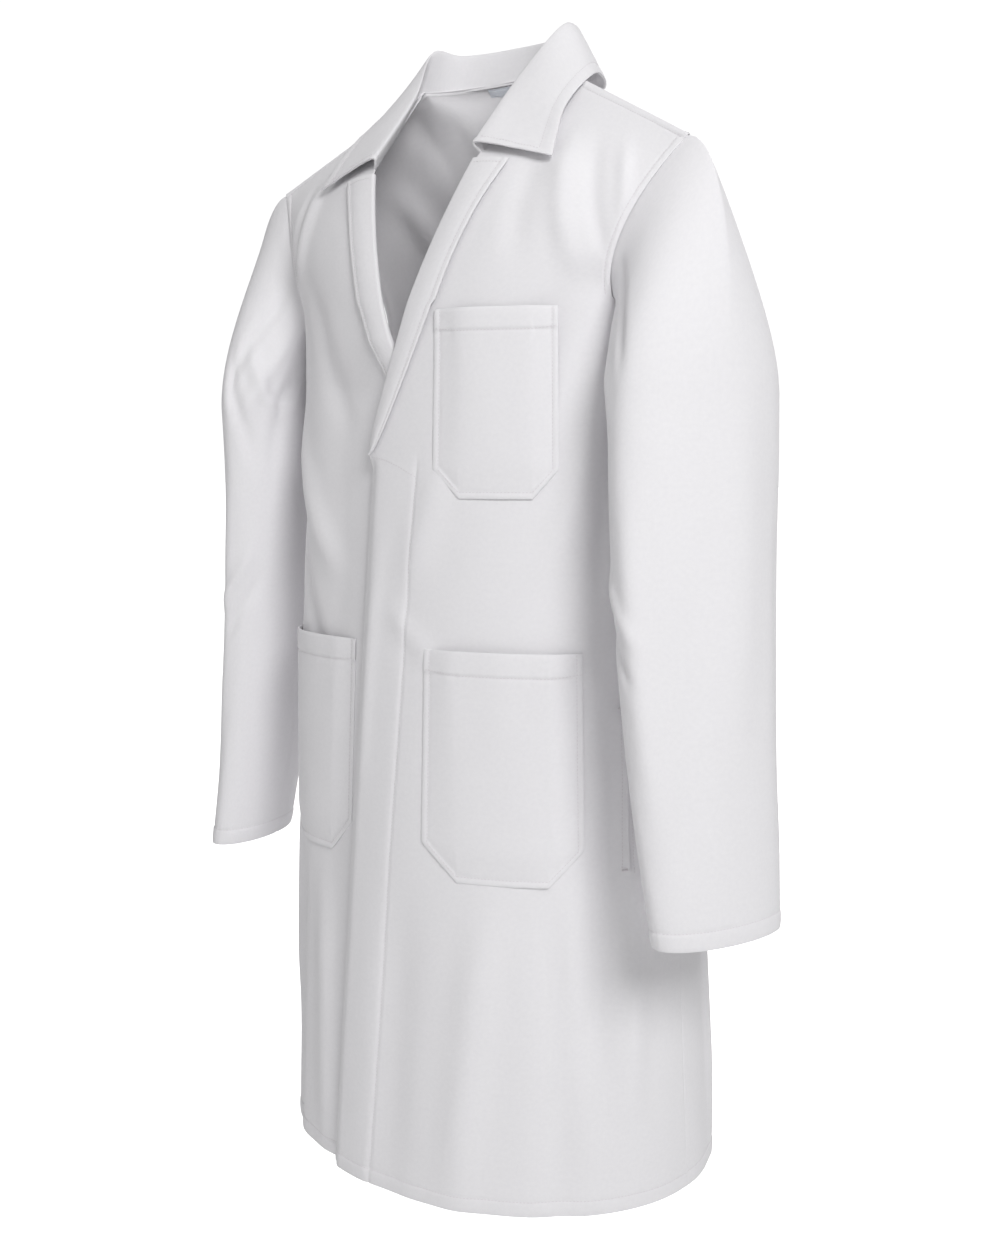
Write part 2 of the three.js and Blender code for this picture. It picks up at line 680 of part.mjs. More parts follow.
// The collar's two layers, one inside the other.
const COLLAR_ENDS = 0.01;
const topCollar = part(collar, COLLAR_ENDS, 1 - COLLAR_ENDS, 0, 1);
const underCollar = part(collar, COLLAR_ENDS, 1 - COLLAR_ENDS, 0.7, 0.9);
const underGap = CLOTH / 2 + 2.5 * LAYER_GAP;
add('top_collar', sheet(topCollar, 24, 10, -CLOTH / 2, CLOTH / 2), 'cloth');
add('under_collar', sheet(underCollar, 24, 2, -underGap - CLOTH, -underGap), 'cloth');

// The fly behind the left front's edge and the facing behind the right front's edge.
const FLY_BOTTOM = STUD_TOP - (STUD_COUNT - 1) * STUD_PITCH - FLY_BELOW;
const FLY_TOP = STUD_TOP + FLY_ABOVE;
const FACING_BOTTOM = 2 * LAYER_INSET;
const FACING_TOP = BREAK_HEIGHT - 4 * LAYER_INSET;
const flyX = (height) => edgeX(height) + LAYER_INSET;
const facingX = (height) => edgeX(height) + OVERLAP - FACING_WIDTH - LAYER_INSET;
cloth('fly_placket', strip(flyX, FLY_WIDTH, FLY_BOTTOM, FLY_TOP), 4, 8, FLY_DEPTH, false);
cloth('right_facing', strip(facingX, FACING_WIDTH, FACING_BOTTOM, FACING_TOP), 4, 8, FACING_DEPTH, false);

// One press stud: cap and socket on the fly, stud and post on the under front. The profiles are turned
// round the stud's own axis, which points out of the coat.
const STUD_SIDES = 12;

function turned(profile) {
  const outline = profile.map(([radius, depth]) => new THREE.Vector2(radius, -depth));
  return facingOut(closed(new THREE.LatheGeometry([...outline, outline[0]], STUD_SIDES)));
}

function studPiece(name, height, profile) {
  const x = edgeX(height) + STUD_FROM_EDGE;
  const angle = angleAt(x, height);
  const skin = (u, v) => bodyPoint(angle + (u - 0.5) * 0.02, height + (v - 0.5) * 4);
  const mesh = add(name, turned(profile), 'stud');
  mesh.position.copy(skin(0.5, 0.5));
  mesh.quaternion.setFromUnitVectors(point(0, 1, 0), normalOf(skin, 0.5, 0.5));
}

const bore = BALL_RADIUS + 0.4;
const SOCKET_FLOOR = 0.6;
const capProfile = [
  [0, CAP_DEPTH], [CAP_RADIUS - 1, CAP_DEPTH], [CAP_RADIUS, CAP_DEPTH + CAP_THICKNESS / 2],
  [CAP_RADIUS, CAP_DEPTH + CAP_THICKNESS], [0, CAP_DEPTH + CAP_THICKNESS],
];
const socketProfile = [
  [0, SOCKET_DEPTH], [SOCKET_RADIUS, SOCKET_DEPTH],
  [SOCKET_RADIUS - 0.6, SOCKET_DEPTH + SOCKET_THICKNESS], [bore, SOCKET_DEPTH + SOCKET_THICKNESS],
  [bore, SOCKET_DEPTH + SOCKET_FLOOR], [0, SOCKET_DEPTH + SOCKET_FLOOR],
];
const studProfile = [
  [0, BALL_DEPTH], [BALL_RADIUS - 0.4, BALL_DEPTH], [BALL_RADIUS, BALL_DEPTH + 0.5],
  [BALL_RADIUS - 0.3, FLANGE_DEPTH], [SOCKET_RADIUS, FLANGE_DEPTH],
  [SOCKET_RADIUS, FLANGE_DEPTH + FLANGE_THICKNESS], [0, FLANGE_DEPTH + FLANGE_THICKNESS],
];
const postProfile = [
  [0, POST_DEPTH], [SOCKET_RADIUS, POST_DEPTH], [SOCKET_RADIUS, POST_DEPTH + FLANGE_THICKNESS],
  [SOCKET_RADIUS - 1, POST_DEPTH + FLANGE_THICKNESS + 0.5], [0, POST_DEPTH + FLANGE_THICKNESS + 0.5],
];
for (let i = 0; i < STUD_COUNT; i += 1) {
  const height = STUD_TOP - i * STUD_PITCH;
  studPiece(`stud_cap_${i + 1}`, height, capProfile);
  studPiece(`stud_socket_${i + 1}`, height, socketProfile);
  studPiece(`stud_ball_${i + 1}`, height, studProfile);
  studPiece(`stud_post_${i + 1}`, height, postProfile);
}

// The label and the hanging loop inside the back of the neck.
const insideNeck = (x, drop) => {
  const rise = 1 - drop / (BACK_LENGTH - CHEST_HEIGHT);
  return backChest(Math.abs(x) / SHOULDER_HALF_WIDTH, rise).multiply(point(Math.sign(x) || 1, 1, 1));
};
const label = (u, v) => insideNeck(LABEL_WIDTH * (u - 0.5), LABEL_DROP + LABEL_HEIGHT * (1 - v));
const labelDepth = CLOTH + 4 * LAYER_GAP;
add('neck_label', sheet(label, 6, 2, labelDepth, labelDepth + LABEL_THICKNESS), 'label');

const LOOP_TOE = 0.4;
const loopDrop = LABEL_DROP + LABEL_HEIGHT + LOOP_BELOW_LABEL;
const loopBack = insideNeck(0, loopDrop).y - CLOTH - LAYER_GAP;
const loopHalf = LOOP_WIDTH / 2;
const loopSide = [
  [loopHalf - LOOP_FOOT, -LOOP_STAND - LOOP_THICKNESS],
  [loopHalf, -LOOP_THICKNESS],
  [loopHalf, 0],
  [loopHalf - LOOP_FOOT / 2, -LOOP_TOE],
  [loopHalf - LOOP_FOOT - 1, -LOOP_STAND],
];
const otherSide = [...loopSide].reverse().map(([x, y]) => [-x, y]);
const loopOutline = new THREE.Shape([...loopSide, ...otherSide].map(([x, y]) => new THREE.Vector2(x, y)));
const loop = add(
  'hanging_loop',
  facingOut(closed(new THREE.ExtrudeGeometry(loopOutline, { depth: LOOP_BAND, bevelEnabled: false }))),
  'cloth',
);
loop.position.set(0, loopBack - 2 * LOOP_THICKNESS, BACK_LENGTH - loopDrop);

// Bar tacks at both ends of the side access slits.
const SLIT_ANGLE = FOLD_ANGLE + 0.08;
for (const [name, side] of [['left', 1], ['right', -1]]) {
  for (const [end, height] of [['upper', VENT_TOP], ['lower', VENT_BOTTOM]]) {
    const skin = (u, v) => bodyPoint(SLIT_ANGLE + (u - 0.5) * 0.02, height + (v - 0.5) * 4);
    const outward = normalOf(skin, 0.5, 0.5);
    const tack = add(
      `${name}_${end}_bar_tack`,
      facingOut(closed(new THREE.BoxGeometry(TACK_LENGTH, TACK_WIDTH, TACK_THICKNESS))),
      'thread',
    );
    const place = skin(0.5, 0.5).addScaledVector(outward, LAYER_GAP + TACK_THICKNESS / 2);
    tack.position.copy(place).multiply(point(side, 1, 1));
    tack.quaternion.setFromUnitVectors(point(0, 0, 1), outward.multiply(point(side, 1, 1)));
  }
}

coat.position.set(0, -NAPE_BACK, -BACK_LENGTH);

export default coat;
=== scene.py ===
"""A white lab coat in worn shape: its cut cloth, collar, lapels, pockets, sleeves, trimmings and stitching.

Lengths in the pattern classes are millimetres and heights are measured from the hem. `placed` turns them
into the frame's metres, whose origin is the nape.
"""

import logging
import math
from collections.abc import Callable, Sequence
from dataclasses import dataclass
from enum import Enum

import bmesh
import bpy
import numpy as np
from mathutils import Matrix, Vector

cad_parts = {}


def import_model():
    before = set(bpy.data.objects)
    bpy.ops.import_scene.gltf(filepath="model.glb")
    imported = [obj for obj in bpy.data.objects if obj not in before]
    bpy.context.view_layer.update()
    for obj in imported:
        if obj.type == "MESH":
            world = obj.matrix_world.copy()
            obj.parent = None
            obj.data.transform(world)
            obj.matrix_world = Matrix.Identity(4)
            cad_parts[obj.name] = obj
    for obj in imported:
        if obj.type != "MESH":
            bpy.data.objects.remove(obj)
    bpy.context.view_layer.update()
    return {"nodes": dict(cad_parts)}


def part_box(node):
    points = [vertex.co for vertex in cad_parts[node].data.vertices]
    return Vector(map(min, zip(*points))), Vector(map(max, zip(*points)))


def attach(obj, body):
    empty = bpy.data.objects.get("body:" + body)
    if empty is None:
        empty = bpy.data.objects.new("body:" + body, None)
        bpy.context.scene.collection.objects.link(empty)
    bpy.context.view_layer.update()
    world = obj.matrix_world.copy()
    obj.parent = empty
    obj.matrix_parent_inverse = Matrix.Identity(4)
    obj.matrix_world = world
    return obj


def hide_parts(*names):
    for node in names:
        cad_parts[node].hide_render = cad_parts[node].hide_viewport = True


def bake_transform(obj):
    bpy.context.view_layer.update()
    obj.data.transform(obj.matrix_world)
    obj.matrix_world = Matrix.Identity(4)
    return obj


Array = np.ndarray
Inputs = dict[int | str, object]
MM = 0.001
NAPE = np.array([0.0, 48.0, 1068.0])
SIDE = math.pi / 2
PHASE = 6.28
FOLD_STRENGTH = 1.5
LEAST_SHARE = 0.301
LOG = logging.getLogger("lab_coat")


class Hand(Enum):
    """Which of the wearer's sides a piece is on."""

    LEFT = 1
    RIGHT = -1

    @property
    def word(self) -> str:
        """The side's name as it stands in piece names."""
        return self.name.lower()


# ------------------------------------------------------------------ small sums


def lerp(a: Array | float, b: Array | float, t: Array | float) -> Array | float:
    """The value a share t of the way from a to b."""
    return a + (b - a) * t


def ease(t: Array | float) -> Array:
    """A smooth step from 0 to 1 as t goes from 0 to 1."""
    t = np.clip(t, 0.0, 1.0)
    return t * t * (3 - 2 * t)


def xyz(x: Array | float, y: Array | float, z: Array | float) -> Array:
    """Points from their three coordinates."""
    return np.stack(np.broadcast_arrays(x, y, z), axis=-1).astype(float)


def point(x: float, y: float, z: float) -> Array:
    """One point or one step."""
    return np.array([x, y, z], float)


def unit(v: Array) -> Array:
    """Vectors of length one."""
    return v / np.maximum(np.linalg.norm(v, axis=-1, keepdims=True), 1e-9)


def curve(a: Array, b: Array, c: Array, d: Array, t: Array | float) -> Array:
    """A cubic curve from a to d with handles b and c."""
    t = np.asarray(t, float)[..., None]
    s = 1 - t
    return a * s**3 + b * (3 * s * s * t) + c * (3 * s * t * t) + d * t**3


def through(points: Sequence[Array], t: Array) -> Array:
    """A smooth line through points, where t goes from 0 to 1 over its spans in turn."""
    p = np.array(points, float)
    p = np.vstack([2 * p[0] - p[1], p, 2 * p[-1] - p[-2]])
    spans = len(p) - 3
    place = np.clip(np.asarray(t, float) * spans, 0, spans - 1e-9)
    i = place.astype(int)
    gaps = np.sqrt(np.linalg.norm(np.diff(p, axis=0), axis=1))
    k0, k1, k2 = (gaps[i + n][..., None] for n in range(3))
    p0, p1, p2, p3 = (p[i + n] for n in range(4))
    m1 = (p1 - p0) / k0 - (p2 - p0) / (k0 + k1) + (p2 - p1) / k1
    m2 = (p2 - p1) / k1 - (p3 - p1) / (k1 + k2) + (p3 - p2) / k2
    m1, m2 = m1 * k1, m2 * k1
    u = (place - i)[..., None]
    return (
        p1 * (2 * u**3 - 3 * u**2 + 1)
        + m1 * (u**3 - 2 * u**2 + u)
        + p2 * (3 * u**2 - 2 * u**3)
        + m2 * (u**3 - u**2)
    )


def placed(points: Array) -> Array:
    """Pattern points as the frame's metres."""
    return (points - NAPE * [0, 1, 1]) * MM


def cut_box(node: str) -> tuple[Array, Array]:
    """The two corners of a node's box, as pattern points."""
    low, high = (np.array(corner) / MM + NAPE * [0, 1, 1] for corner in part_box(node))
    return low, high


def ruler(start: float, end: float, step: float, marks: Sequence[float] = ()) -> Array:
    """Grid lines from start to end.

    Args:
        start: The first line.
        end: The last line.
        step: The usual distance between lines.
        marks: Where a seam or an edge needs lines close together.

    Returns:
        The lines' places, in rising order.
    """
    close, least = (-4.0, -2.2, -1.1, 1.1, 2.2, 4.0), 0.95
    kept = [start, end, *(m for m in marks if start < m < end)]
    near = [m + c for m in marks for c in close if start < m + c < end]
    for line in [*near, *np.linspace(start, end, round((end - start) / step) + 1)]:
        if min(abs(line - k) for k in kept) > least:
            kept.append(line)
    return np.array(sorted(kept))


# ------------------------------------------------------------------ how cloth lies


@dataclass(frozen=True)
class Fold:
    """A soft ridge in the cloth, or a hollow where its height is negative.

    Its ends are (across, up) on the cut cloth. It fades towards both.
    """

    start: tuple[float, float]
    end: tuple[float, float]
    width: float
    height: float
    bow: float = 0.0

    def lift(self, s: Array, h: Array) -> Array:
        """How far the fold raises the cloth at (s, h)."""
        (ax, ay), (bx, by) = self.start, self.end
        dx, dy = bx - ax, by - ay
        long = math.hypot(dx, dy)
        t = ((s - ax) * dx + (h - ay) * dy) / long**2
        off = ((s - ax) * dy - (h - ay) * dx) / long - self.bow * 4 * t * (1 - t)
        fade = ease(t / 0.35) * ease((1 - t) / 0.35)
        d = (off / self.width) ** 2
        return self.height * fade * (1 - 0.5 * d) * np.exp(-d)


def folded(folds: Sequence[Fold], s: Array, h: Array) -> Array:
    """All the folds' lift together."""
    return FOLD_STRENGTH * sum((f.lift(s, h) for f in folds), np.zeros_like(s))


def ripple(s: Array, h: Array, size: float, seed: int) -> Array:
    """A gentle unevenness, longer up the cloth than across it.

    Args:
        s: Places across the cloth.
        h: Places up the cloth.
        size: The least length of a wave.
        seed: Which pattern of waves.

    Returns:
        Lifts of about -1 to 1.
    """
    draw, count, tall = np.random.default_rng(seed), 9, 2.4
    total = np.zeros_like(s)
    for _ in range(count):
        k = 2 * math.pi / (size * draw.uniform(1.0, 3.2))
        lean = draw.normal(0, 0.45)
        run = s * math.cos(lean) + h * math.sin(lean) / tall
        total = total + np.sin(k * run + draw.uniform(0, PHASE))
    return total / (count / 2)


def stitched(distance: Array, depth: float = 0.55, width: float = 1.5) -> Array:
    """The groove that a row of stitches pulls into the cloth."""
    return -depth * np.exp(-((distance / width) ** 2))


def turned(distance: Array, width: float, rise: float) -> Array:
    """The extra thickness of an edge that is turned under, a distance in from it."""
    return rise * (1 - ease((distance - width + 1.5) / 3.0)) * ease((distance + 0.4) / 1.6)


def puckered(distance: Array, along: Array, seed: int) -> Array:
    """The small gathers along a row of stitches."""
    draw, depth, reach = np.random.default_rng(seed), 0.13, 7.0
    waves = sum(np.sin(along * 2 * math.pi / w + draw.uniform(0, PHASE)) for w in (7.3, 11.9, 17.1))
    return depth * waves * np.exp(-((distance / reach) ** 2))


def hemmed(edge: Array, width: float, along: Array, seed: int, rise: float, depth: float = 0.55) -> Array:
    """An edge that is turned under and sewn down.

    Args:
        edge: The distance in from the edge.
        width: How far in its stitches run.
        along: The distance along the edge.
        seed: Which pattern of gathers.
        rise: The turning's extra thickness.
        depth: The groove's depth.

    Returns:
        The cloth's lift.
    """
    row = edge - width
    return turned(edge, width, rise) + stitched(row, depth) + puckered(row, along, seed)


# ------------------------------------------------------------------ a grid of cloth


class Sheet:
    """A piece of cloth laid out as a grid: columns across it, rows up it, its outside to the normal."""

    def __init__(
        self,
        name: str,
        across: Array,
        up: Array,
        shape: Callable[[Array, Array], Array],
        tube: bool = False,
    ) -> None:
        """Lays the grid on its shape.

        Args:
            name: The piece's name.
            across: The columns' places.
            up: The rows' places.
            shape: Gives the points at (across, up).
            tube: Whether the last column is the first again.
        """
        self.name, self.across, self.up, self.tube = name, across, up, tube
        self.a, self.b = np.meshgrid(across, up)
        self.points = shape(self.a, self.b)
        steps = np.linalg.norm(np.diff(self.points, axis=1), axis=-1)
        self.s = np.concatenate([np.zeros((len(up), 1)), np.cumsum(steps, axis=1)], axis=1)
        self.h = self.b.copy()
        self.kept = np.ones(self.a.shape, bool)

    def normals(self) -> Array:
        """The cloth's outward direction at each crossing."""
        if self.tube:
            wrapped = np.concatenate([self.points[:, -2:-1], self.points, self.points[:, 1:2]], axis=1)
            run = (wrapped[:, 2:] - wrapped[:, :-2]) / 2
        else:
            run = np.gradient(self.points, axis=1)
        return unit(np.cross(run, np.gradient(self.points, axis=0)))

    def raised(self, lift: Array) -> "Sheet":
        """Moves the cloth along its normal."""
        self.points = self.points + self.normals() * lift[..., None]
        return self

    def settle(self, weight: Array, axis: int, rounds: int) -> None:
        """Smooths the cloth along its rows or columns.

        Args:
            weight: How much each point may move, 0 to 1.
            axis: 0 to smooth up and down, 1 to smooth across.
            rounds: How many times.
        """
        points = np.moveaxis(self.points, axis, 0)
        share = 0.5 * np.moveaxis(weight * self.kept, axis, 0)[1:-1, :, None]
        whole = np.moveaxis(self.kept, axis, 0)
        share = share * (whole[2:] & whole[:-2])[..., None]
        for _ in range(rounds):
            points[1:-1] += ((points[:-2] + points[2:]) / 2 - points[1:-1]) * share

    def at(self, a: Array, b: Array) -> tuple[Array, Array]:
        """Points and normals at grid places (a, b)."""
        i = np.clip(np.interp(a, self.across, np.arange(len(self.across))), 0, len(self.across) - 1.001)
        j = np.clip(np.interp(b, self.up, np.arange(len(self.up))), 0, len(self.up) - 1.001)
        i0, j0 = i.astype(int), j.astype(int)
        x, y = (i - i0)[..., None], (j - j0)[..., None]

        def between(grid: Array) -> Array:
            low = grid[j0, i0] * (1 - x) + grid[j0, i0 + 1] * x
            high = grid[j0 + 1, i0] * (1 - x) + grid[j0 + 1, i0 + 1] * x
            return low * (1 - y) + high * y

        return between(self.points), unit(between(self.normals()))

    def on(self, hand: Hand) -> "Sheet":
        """The cloth on its own side; every piece is laid out on the wearer's left."""
        if hand is Hand.RIGHT:
            self.points = self.points[:, ::-1] * [-1, 1, 1]
            self.s, self.h, self.kept = -self.s[:, ::-1], self.h[:, ::-1], self.kept[:, ::-1]
            self.across = -self.across[::-1]
            self.a, self.b = -self.a[:, ::-1], self.b[:, ::-1]
        return self

    def area(self) -> float:
        """The cloth's area in square metres."""
        p = self.points
        cross = np.cross(p[1:, 1:] - p[:-1, :-1], p[1:, :-1] - p[:-1, 1:])
        whole = self.kept[1:, 1:] & self.kept[:-1, :-1] & self.kept[1:, :-1] & self.kept[:-1, 1:]
        return float((np.linalg.norm(cross, axis=-1) / 2 * whole).sum()) * MM * MM

    def build(self, thickness: float = 1.3) -> bpy.types.Object:
        """Makes the mesh: a grid moved to the cloth's points, given its thickness.

        Args:
            thickness: The cloth's thickness, added on its inside.

        Returns:
            The object, at the origin.
        """
        rows, columns = self.points.shape[:2]
        bm = bmesh.new()
        bmesh.ops.create_grid(bm, x_segments=columns - 1, y_segments=rows - 1, size=1.0)
        spot = (np.array([v.co[:2] for v in bm.verts]) + 1) / 2 * [columns - 1, rows - 1]
        col, row = np.rint(spot).astype(int).T
        points = placed(self.points)[row, col]
        flat = np.stack([self.s, self.h], axis=-1)[row, col] * MM
        kept = self.kept[row, col]
        cloth = bm.loops.layers.uv.new("cloth")
        for vert, co in zip(bm.verts, points):
            vert.co = co
        for face in bm.faces:
            for loop in face.loops:
                loop[cloth].uv = flat[loop.vert.index]
        bmesh.ops.delete(bm, geom=[v for v, k in zip(bm.verts, kept) if not k], context="VERTS")
        if self.tube:
            bmesh.ops.remove_doubles(bm, verts=bm.verts, dist=1e-6)
        mesh = bpy.data.meshes.new(self.name)
        bm.to_mesh(mesh)
        bm.free()
        return thickened(shown(self.name, mesh), thickness)


def shown(name: str, mesh: bpy.types.Mesh) -> bpy.types.Object:
    """An object for a mesh, in the scene."""
    obj = bpy.data.objects.new(name, mesh)
    bpy.context.scene.collection.objects.link(obj)
    return obj


def thickened(obj: bpy.types.Object, thickness: float) -> bpy.types.Object:
    """Gives a sheet its thickness and rounds its edges, and keeps the result as its mesh."""
    wall = obj.modifiers.new("thickness", "SOLIDIFY")
    wall.thickness, wall.offset, wall.use_even_offset = thickness * MM, -1.0, False
    soft = obj.modifiers.new("rounding", "BEVEL")
    soft.limit_method, soft.angle_limit, soft.profile = "ANGLE", math.radians(60), 0.5
    soft.width, soft.segments = thickness * MM * 0.4, 2
    made = bpy.data.meshes.new_from_object(obj.evaluated_get(bpy.context.evaluated_depsgraph_get()))
    obj.modifiers.clear()
    old, obj.data = obj.data, made
    bpy.data.meshes.remove(old)
    made.name = obj.name
    made.polygons.foreach_set("use_smooth", [True] * len(made.polygons))
    return obj


# ------------------------------------------------------------------ the pattern block


@dataclass(frozen=True)
class Block:
    """The coat's basic block: the shape that its body is cut to."""

    chest: float = 800.0
    front_top: float = 832.0
    hem_width: float = 229.0
    hem_depth: float = 187.0
    chest_width: float = 205.0
    chest_depth: float = 125.0
    chest_forward: float = 30.0
    break_height: float = 695.0
    break_x: float = -30.0
    hem_edge_x: float = -74.0
    overlap: float = 70.0
    under_depth: float = 12.2
    dip_start: float = -154.0
    dip_end: float = -82.0
    crossing: float = 43.4
    front_arm: float = 1.17
    back_arm: float = 2.05
    underarm: float = 1.35
    gorge_rise: float = 0.62
    rise_length: float = 232.0

    shoulder = point(246, -52, 967)
    neck = point(82, -18.2, 1054)
    gorge = point(64, -112, 962)
    nape = point(0, 48, 1068)
    roll_bow = point(0, -25, 0)

    def level(self, h: Array | float) -> tuple:
        """The half width, half depth and middle of the body at a height."""
        t = h / self.chest
        return (
            lerp(self.hem_width, self.chest_width, t),
            lerp(self.hem_depth, self.chest_depth, t),
            -self.chest_forward * t,
        )

    def body(self, angle: Array | float, h: Array | float) -> Array:
        """The body's surface; angle 0 is the centre front and a quarter turn the wearer's left."""
        width, depth, middle = self.level(h)
        return xyz(width * np.sin(angle), middle - depth * np.cos(angle), h)

    def angle_at(self, x: Array | float, h: Array | float) -> Array:
        """The angle of the body's front surface at x."""
        return np.arcsin(np.clip(x / self.level(h)[0], -1, 1))

    def roll(self, t: Array | float) -> Array:
        """The lapel's roll line, from the break to the gorge."""
        low = self.body(self.angle_at(self.break_x, self.break_height), self.break_height)
        handles = (lerp(low, self.gorge, share) + self.roll_bow for share in (1 / 3, 2 / 3))
        return curve(low, *handles, self.gorge, t)

    @property
    def roll_at_top(self) -> float:
        """The share of the roll line that lies below the front's top."""
        return (self.front_top - self.break_height) / (self.gorge[2] - self.break_height)

    def edge_x(self, h: Array | float) -> Array:
        """Where the left front's free edge lies below the break."""
        return lerp(self.hem_edge_x, self.break_x, h / self.break_height)

    def inner_x(self, h: Array, hand: Hand) -> Array:
        """Where a front's inner edge lies, counted towards its own side."""
        t = (h - self.break_height) / (self.front_top - self.break_height)
        top = float(self.roll(self.roll_at_top)[0])
        if hand is Hand.LEFT:
            return np.where(t <= 0, self.edge_x(h), lerp(self.break_x, top, t))
        below, foot = self.edge_x(h) + self.overlap, self.break_x + self.overlap
        return -np.where(t <= 0, below, lerp(foot, -top, t))

    def dip(self, x: Array, h: Array) -> Array:
        """How far the under front lies below the body's surface."""
        under = ease((x - self.dip_start) / (self.dip_end - self.dip_start))
        fade = np.clip(1 - (self.chest - h) / self.crossing, 0, 1)
        return self.under_depth * under * (1 - fade)

    def skin(self, angle: Array, h: Array, hand: Hand) -> Array:
        """A front's surface drawn on the left: the left front's own, or the under front's mirror image."""
        p = self.body(angle, h)
        if hand is Hand.LEFT:
            return p
        middle = xyz(0 * p[..., 0], self.level(h)[2], h)
        return p + unit(middle - p) * self.dip(-p[..., 0], h)[..., None]

    def armhole_front(self, t: Array) -> Array:
        """The armhole's front half, from the front's top to the shoulder."""
        start = self.body(self.front_arm, self.front_top)
        return curve(start, start + point(2, -22, 36), self.shoulder + point(-34, -26, -46), self.shoulder, t)

    def armhole_back(self, t: Array) -> Array:
        """The armhole's back half, from the underarm to the shoulder."""
        start = self.body(self.back_arm, self.chest)
        return curve(start, start + point(2, 36, 52), self.shoulder + point(-26, 74, -34), self.shoulder, t)

    def side_top(self, angle: Array) -> Array:
        """The top of the front's lower part: it rises from the armhole's foot to the underarm."""
        slope = np.clip((angle - self.front_arm) / (self.underarm - self.front_arm), 0, 1)
        return lerp(self.front_top, self.chest, slope)

    def armhole(self, turn: Array) -> Array:
        """Once round the armhole from the underarm, forward and up to the shoulder, then down the back."""
        arc = 0.11
        rise = 0.5 - arc
        fore = lerp(SIDE, self.front_arm, np.clip(turn / arc, 0, 1))
        aft = lerp(self.back_arm, SIDE, np.clip((turn - 1 + arc) / arc, 0, 1))
        pick = np.digitize(turn, [arc, 0.5, 1 - arc])[..., None]
        choices = [
            self.body(fore, self.side_top(fore)),
            self.armhole_front(np.clip((turn - arc) / rise, 0, 1)),
            self.armhole_back(np.clip((1 - arc - turn) / rise, 0, 1)),
            self.body(aft, self.chest),
        ]
        return np.select([pick == k for k in range(4)], choices)

    def roll_edge(self, rise: Array) -> Array:
        """The chest's inner edge: up the roll line, then along the neck seam."""
        low = self.roll(lerp(self.roll_at_top, 1, np.clip(rise / self.gorge_rise, 0, 1)))
        t = np.clip((rise - self.gorge_rise) / (1 - self.gorge_rise), 0, 1)[..., None]
        return np.where(t > 0, lerp(self.gorge, self.neck, t), low)

    def chest_shape(self, across: Array, rise: Array) -> Array:
        """The chest before it is fitted to the roll line and the armhole."""
        inner = self.angle_at(float(self.roll(self.roll_at_top)[0]), self.front_top)
        start = self.body(lerp(inner, self.front_arm, across), self.front_top + 0 * across)
        end = lerp(self.neck, self.shoulder, np.asarray(across)[..., None])
        return curve(start, start + point(0, -2, 80), end + point(6, -62, -50), end, rise)

    def front_chest(self, across: Array, rise: Array) -> Array:
        """The front above its top line, from the roll line to the armhole."""
        inner = self.roll_edge(rise) - self.chest_shape(0 * across, rise)
        outer = self.armhole_front(rise) - self.chest_shape(0 * across + 1, rise)
        share = across[..., None]
        return self.chest_shape(across, rise) + inner * (1 - share) ** 2 + outer * share**3

    def neck_seam(self, t: Array | float) -> Array:
        """The neck's curve, from the nape to the shoulder seam."""
        nape, neck = self.nape, self.neck
        return curve(nape, nape + point(50.8, 0, 0), neck + point(0, 34, 5), neck, t)

    def back_top(self, across: Array) -> Array:
        """The back's top: the neck curve, then the shoulder line."""
        share = self.neck[0] / self.shoulder[0]
        bend = self.neck_seam(np.clip(across / share, 0, 1))
        line = lerp(self.neck, self.shoulder, np.clip((across - share) / (1 - share), 0, 1)[..., None])
        return np.where((across <= share)[..., None], bend, line)

    def back_chest(self, across: Array, rise: Array) -> Array:
        """The back above the underarm, from its centre to the armhole."""

        def shape(share: Array) -> Array:
            start = self.body(lerp(2 * SIDE, self.back_arm, share), self.chest + 0 * share)
            end = self.back_top(share)
            high = end + point(4, 34, -34) + point(0, 26, 26) * share[..., None]
            return curve(start, start + point(0, 10, 130), high, end, rise)

        outer = self.armhole_back(rise) - shape(0 * across + 1)
        return shape(across) + outer * across[..., None] ** 3


# ------------------------------------------------------------------ finishes


def group(name: str, inputs: dict[str, float], outputs: Sequence[str]) -> bpy.types.NodeTree:
    """An empty shader group with a vector input, named number inputs and number outputs."""
    tree = bpy.data.node_groups.new(name, "ShaderNodeTree")
    tree.interface.new_socket("Place", in_out="INPUT", socket_type="NodeSocketVector")
    for word, value in inputs.items():
        tree.interface.new_socket(word, in_out="INPUT", socket_type="NodeSocketFloat").default_value = value
    for word in outputs:
        tree.interface.new_socket(word, in_out="OUTPUT", socket_type="NodeSocketFloat")
    return tree


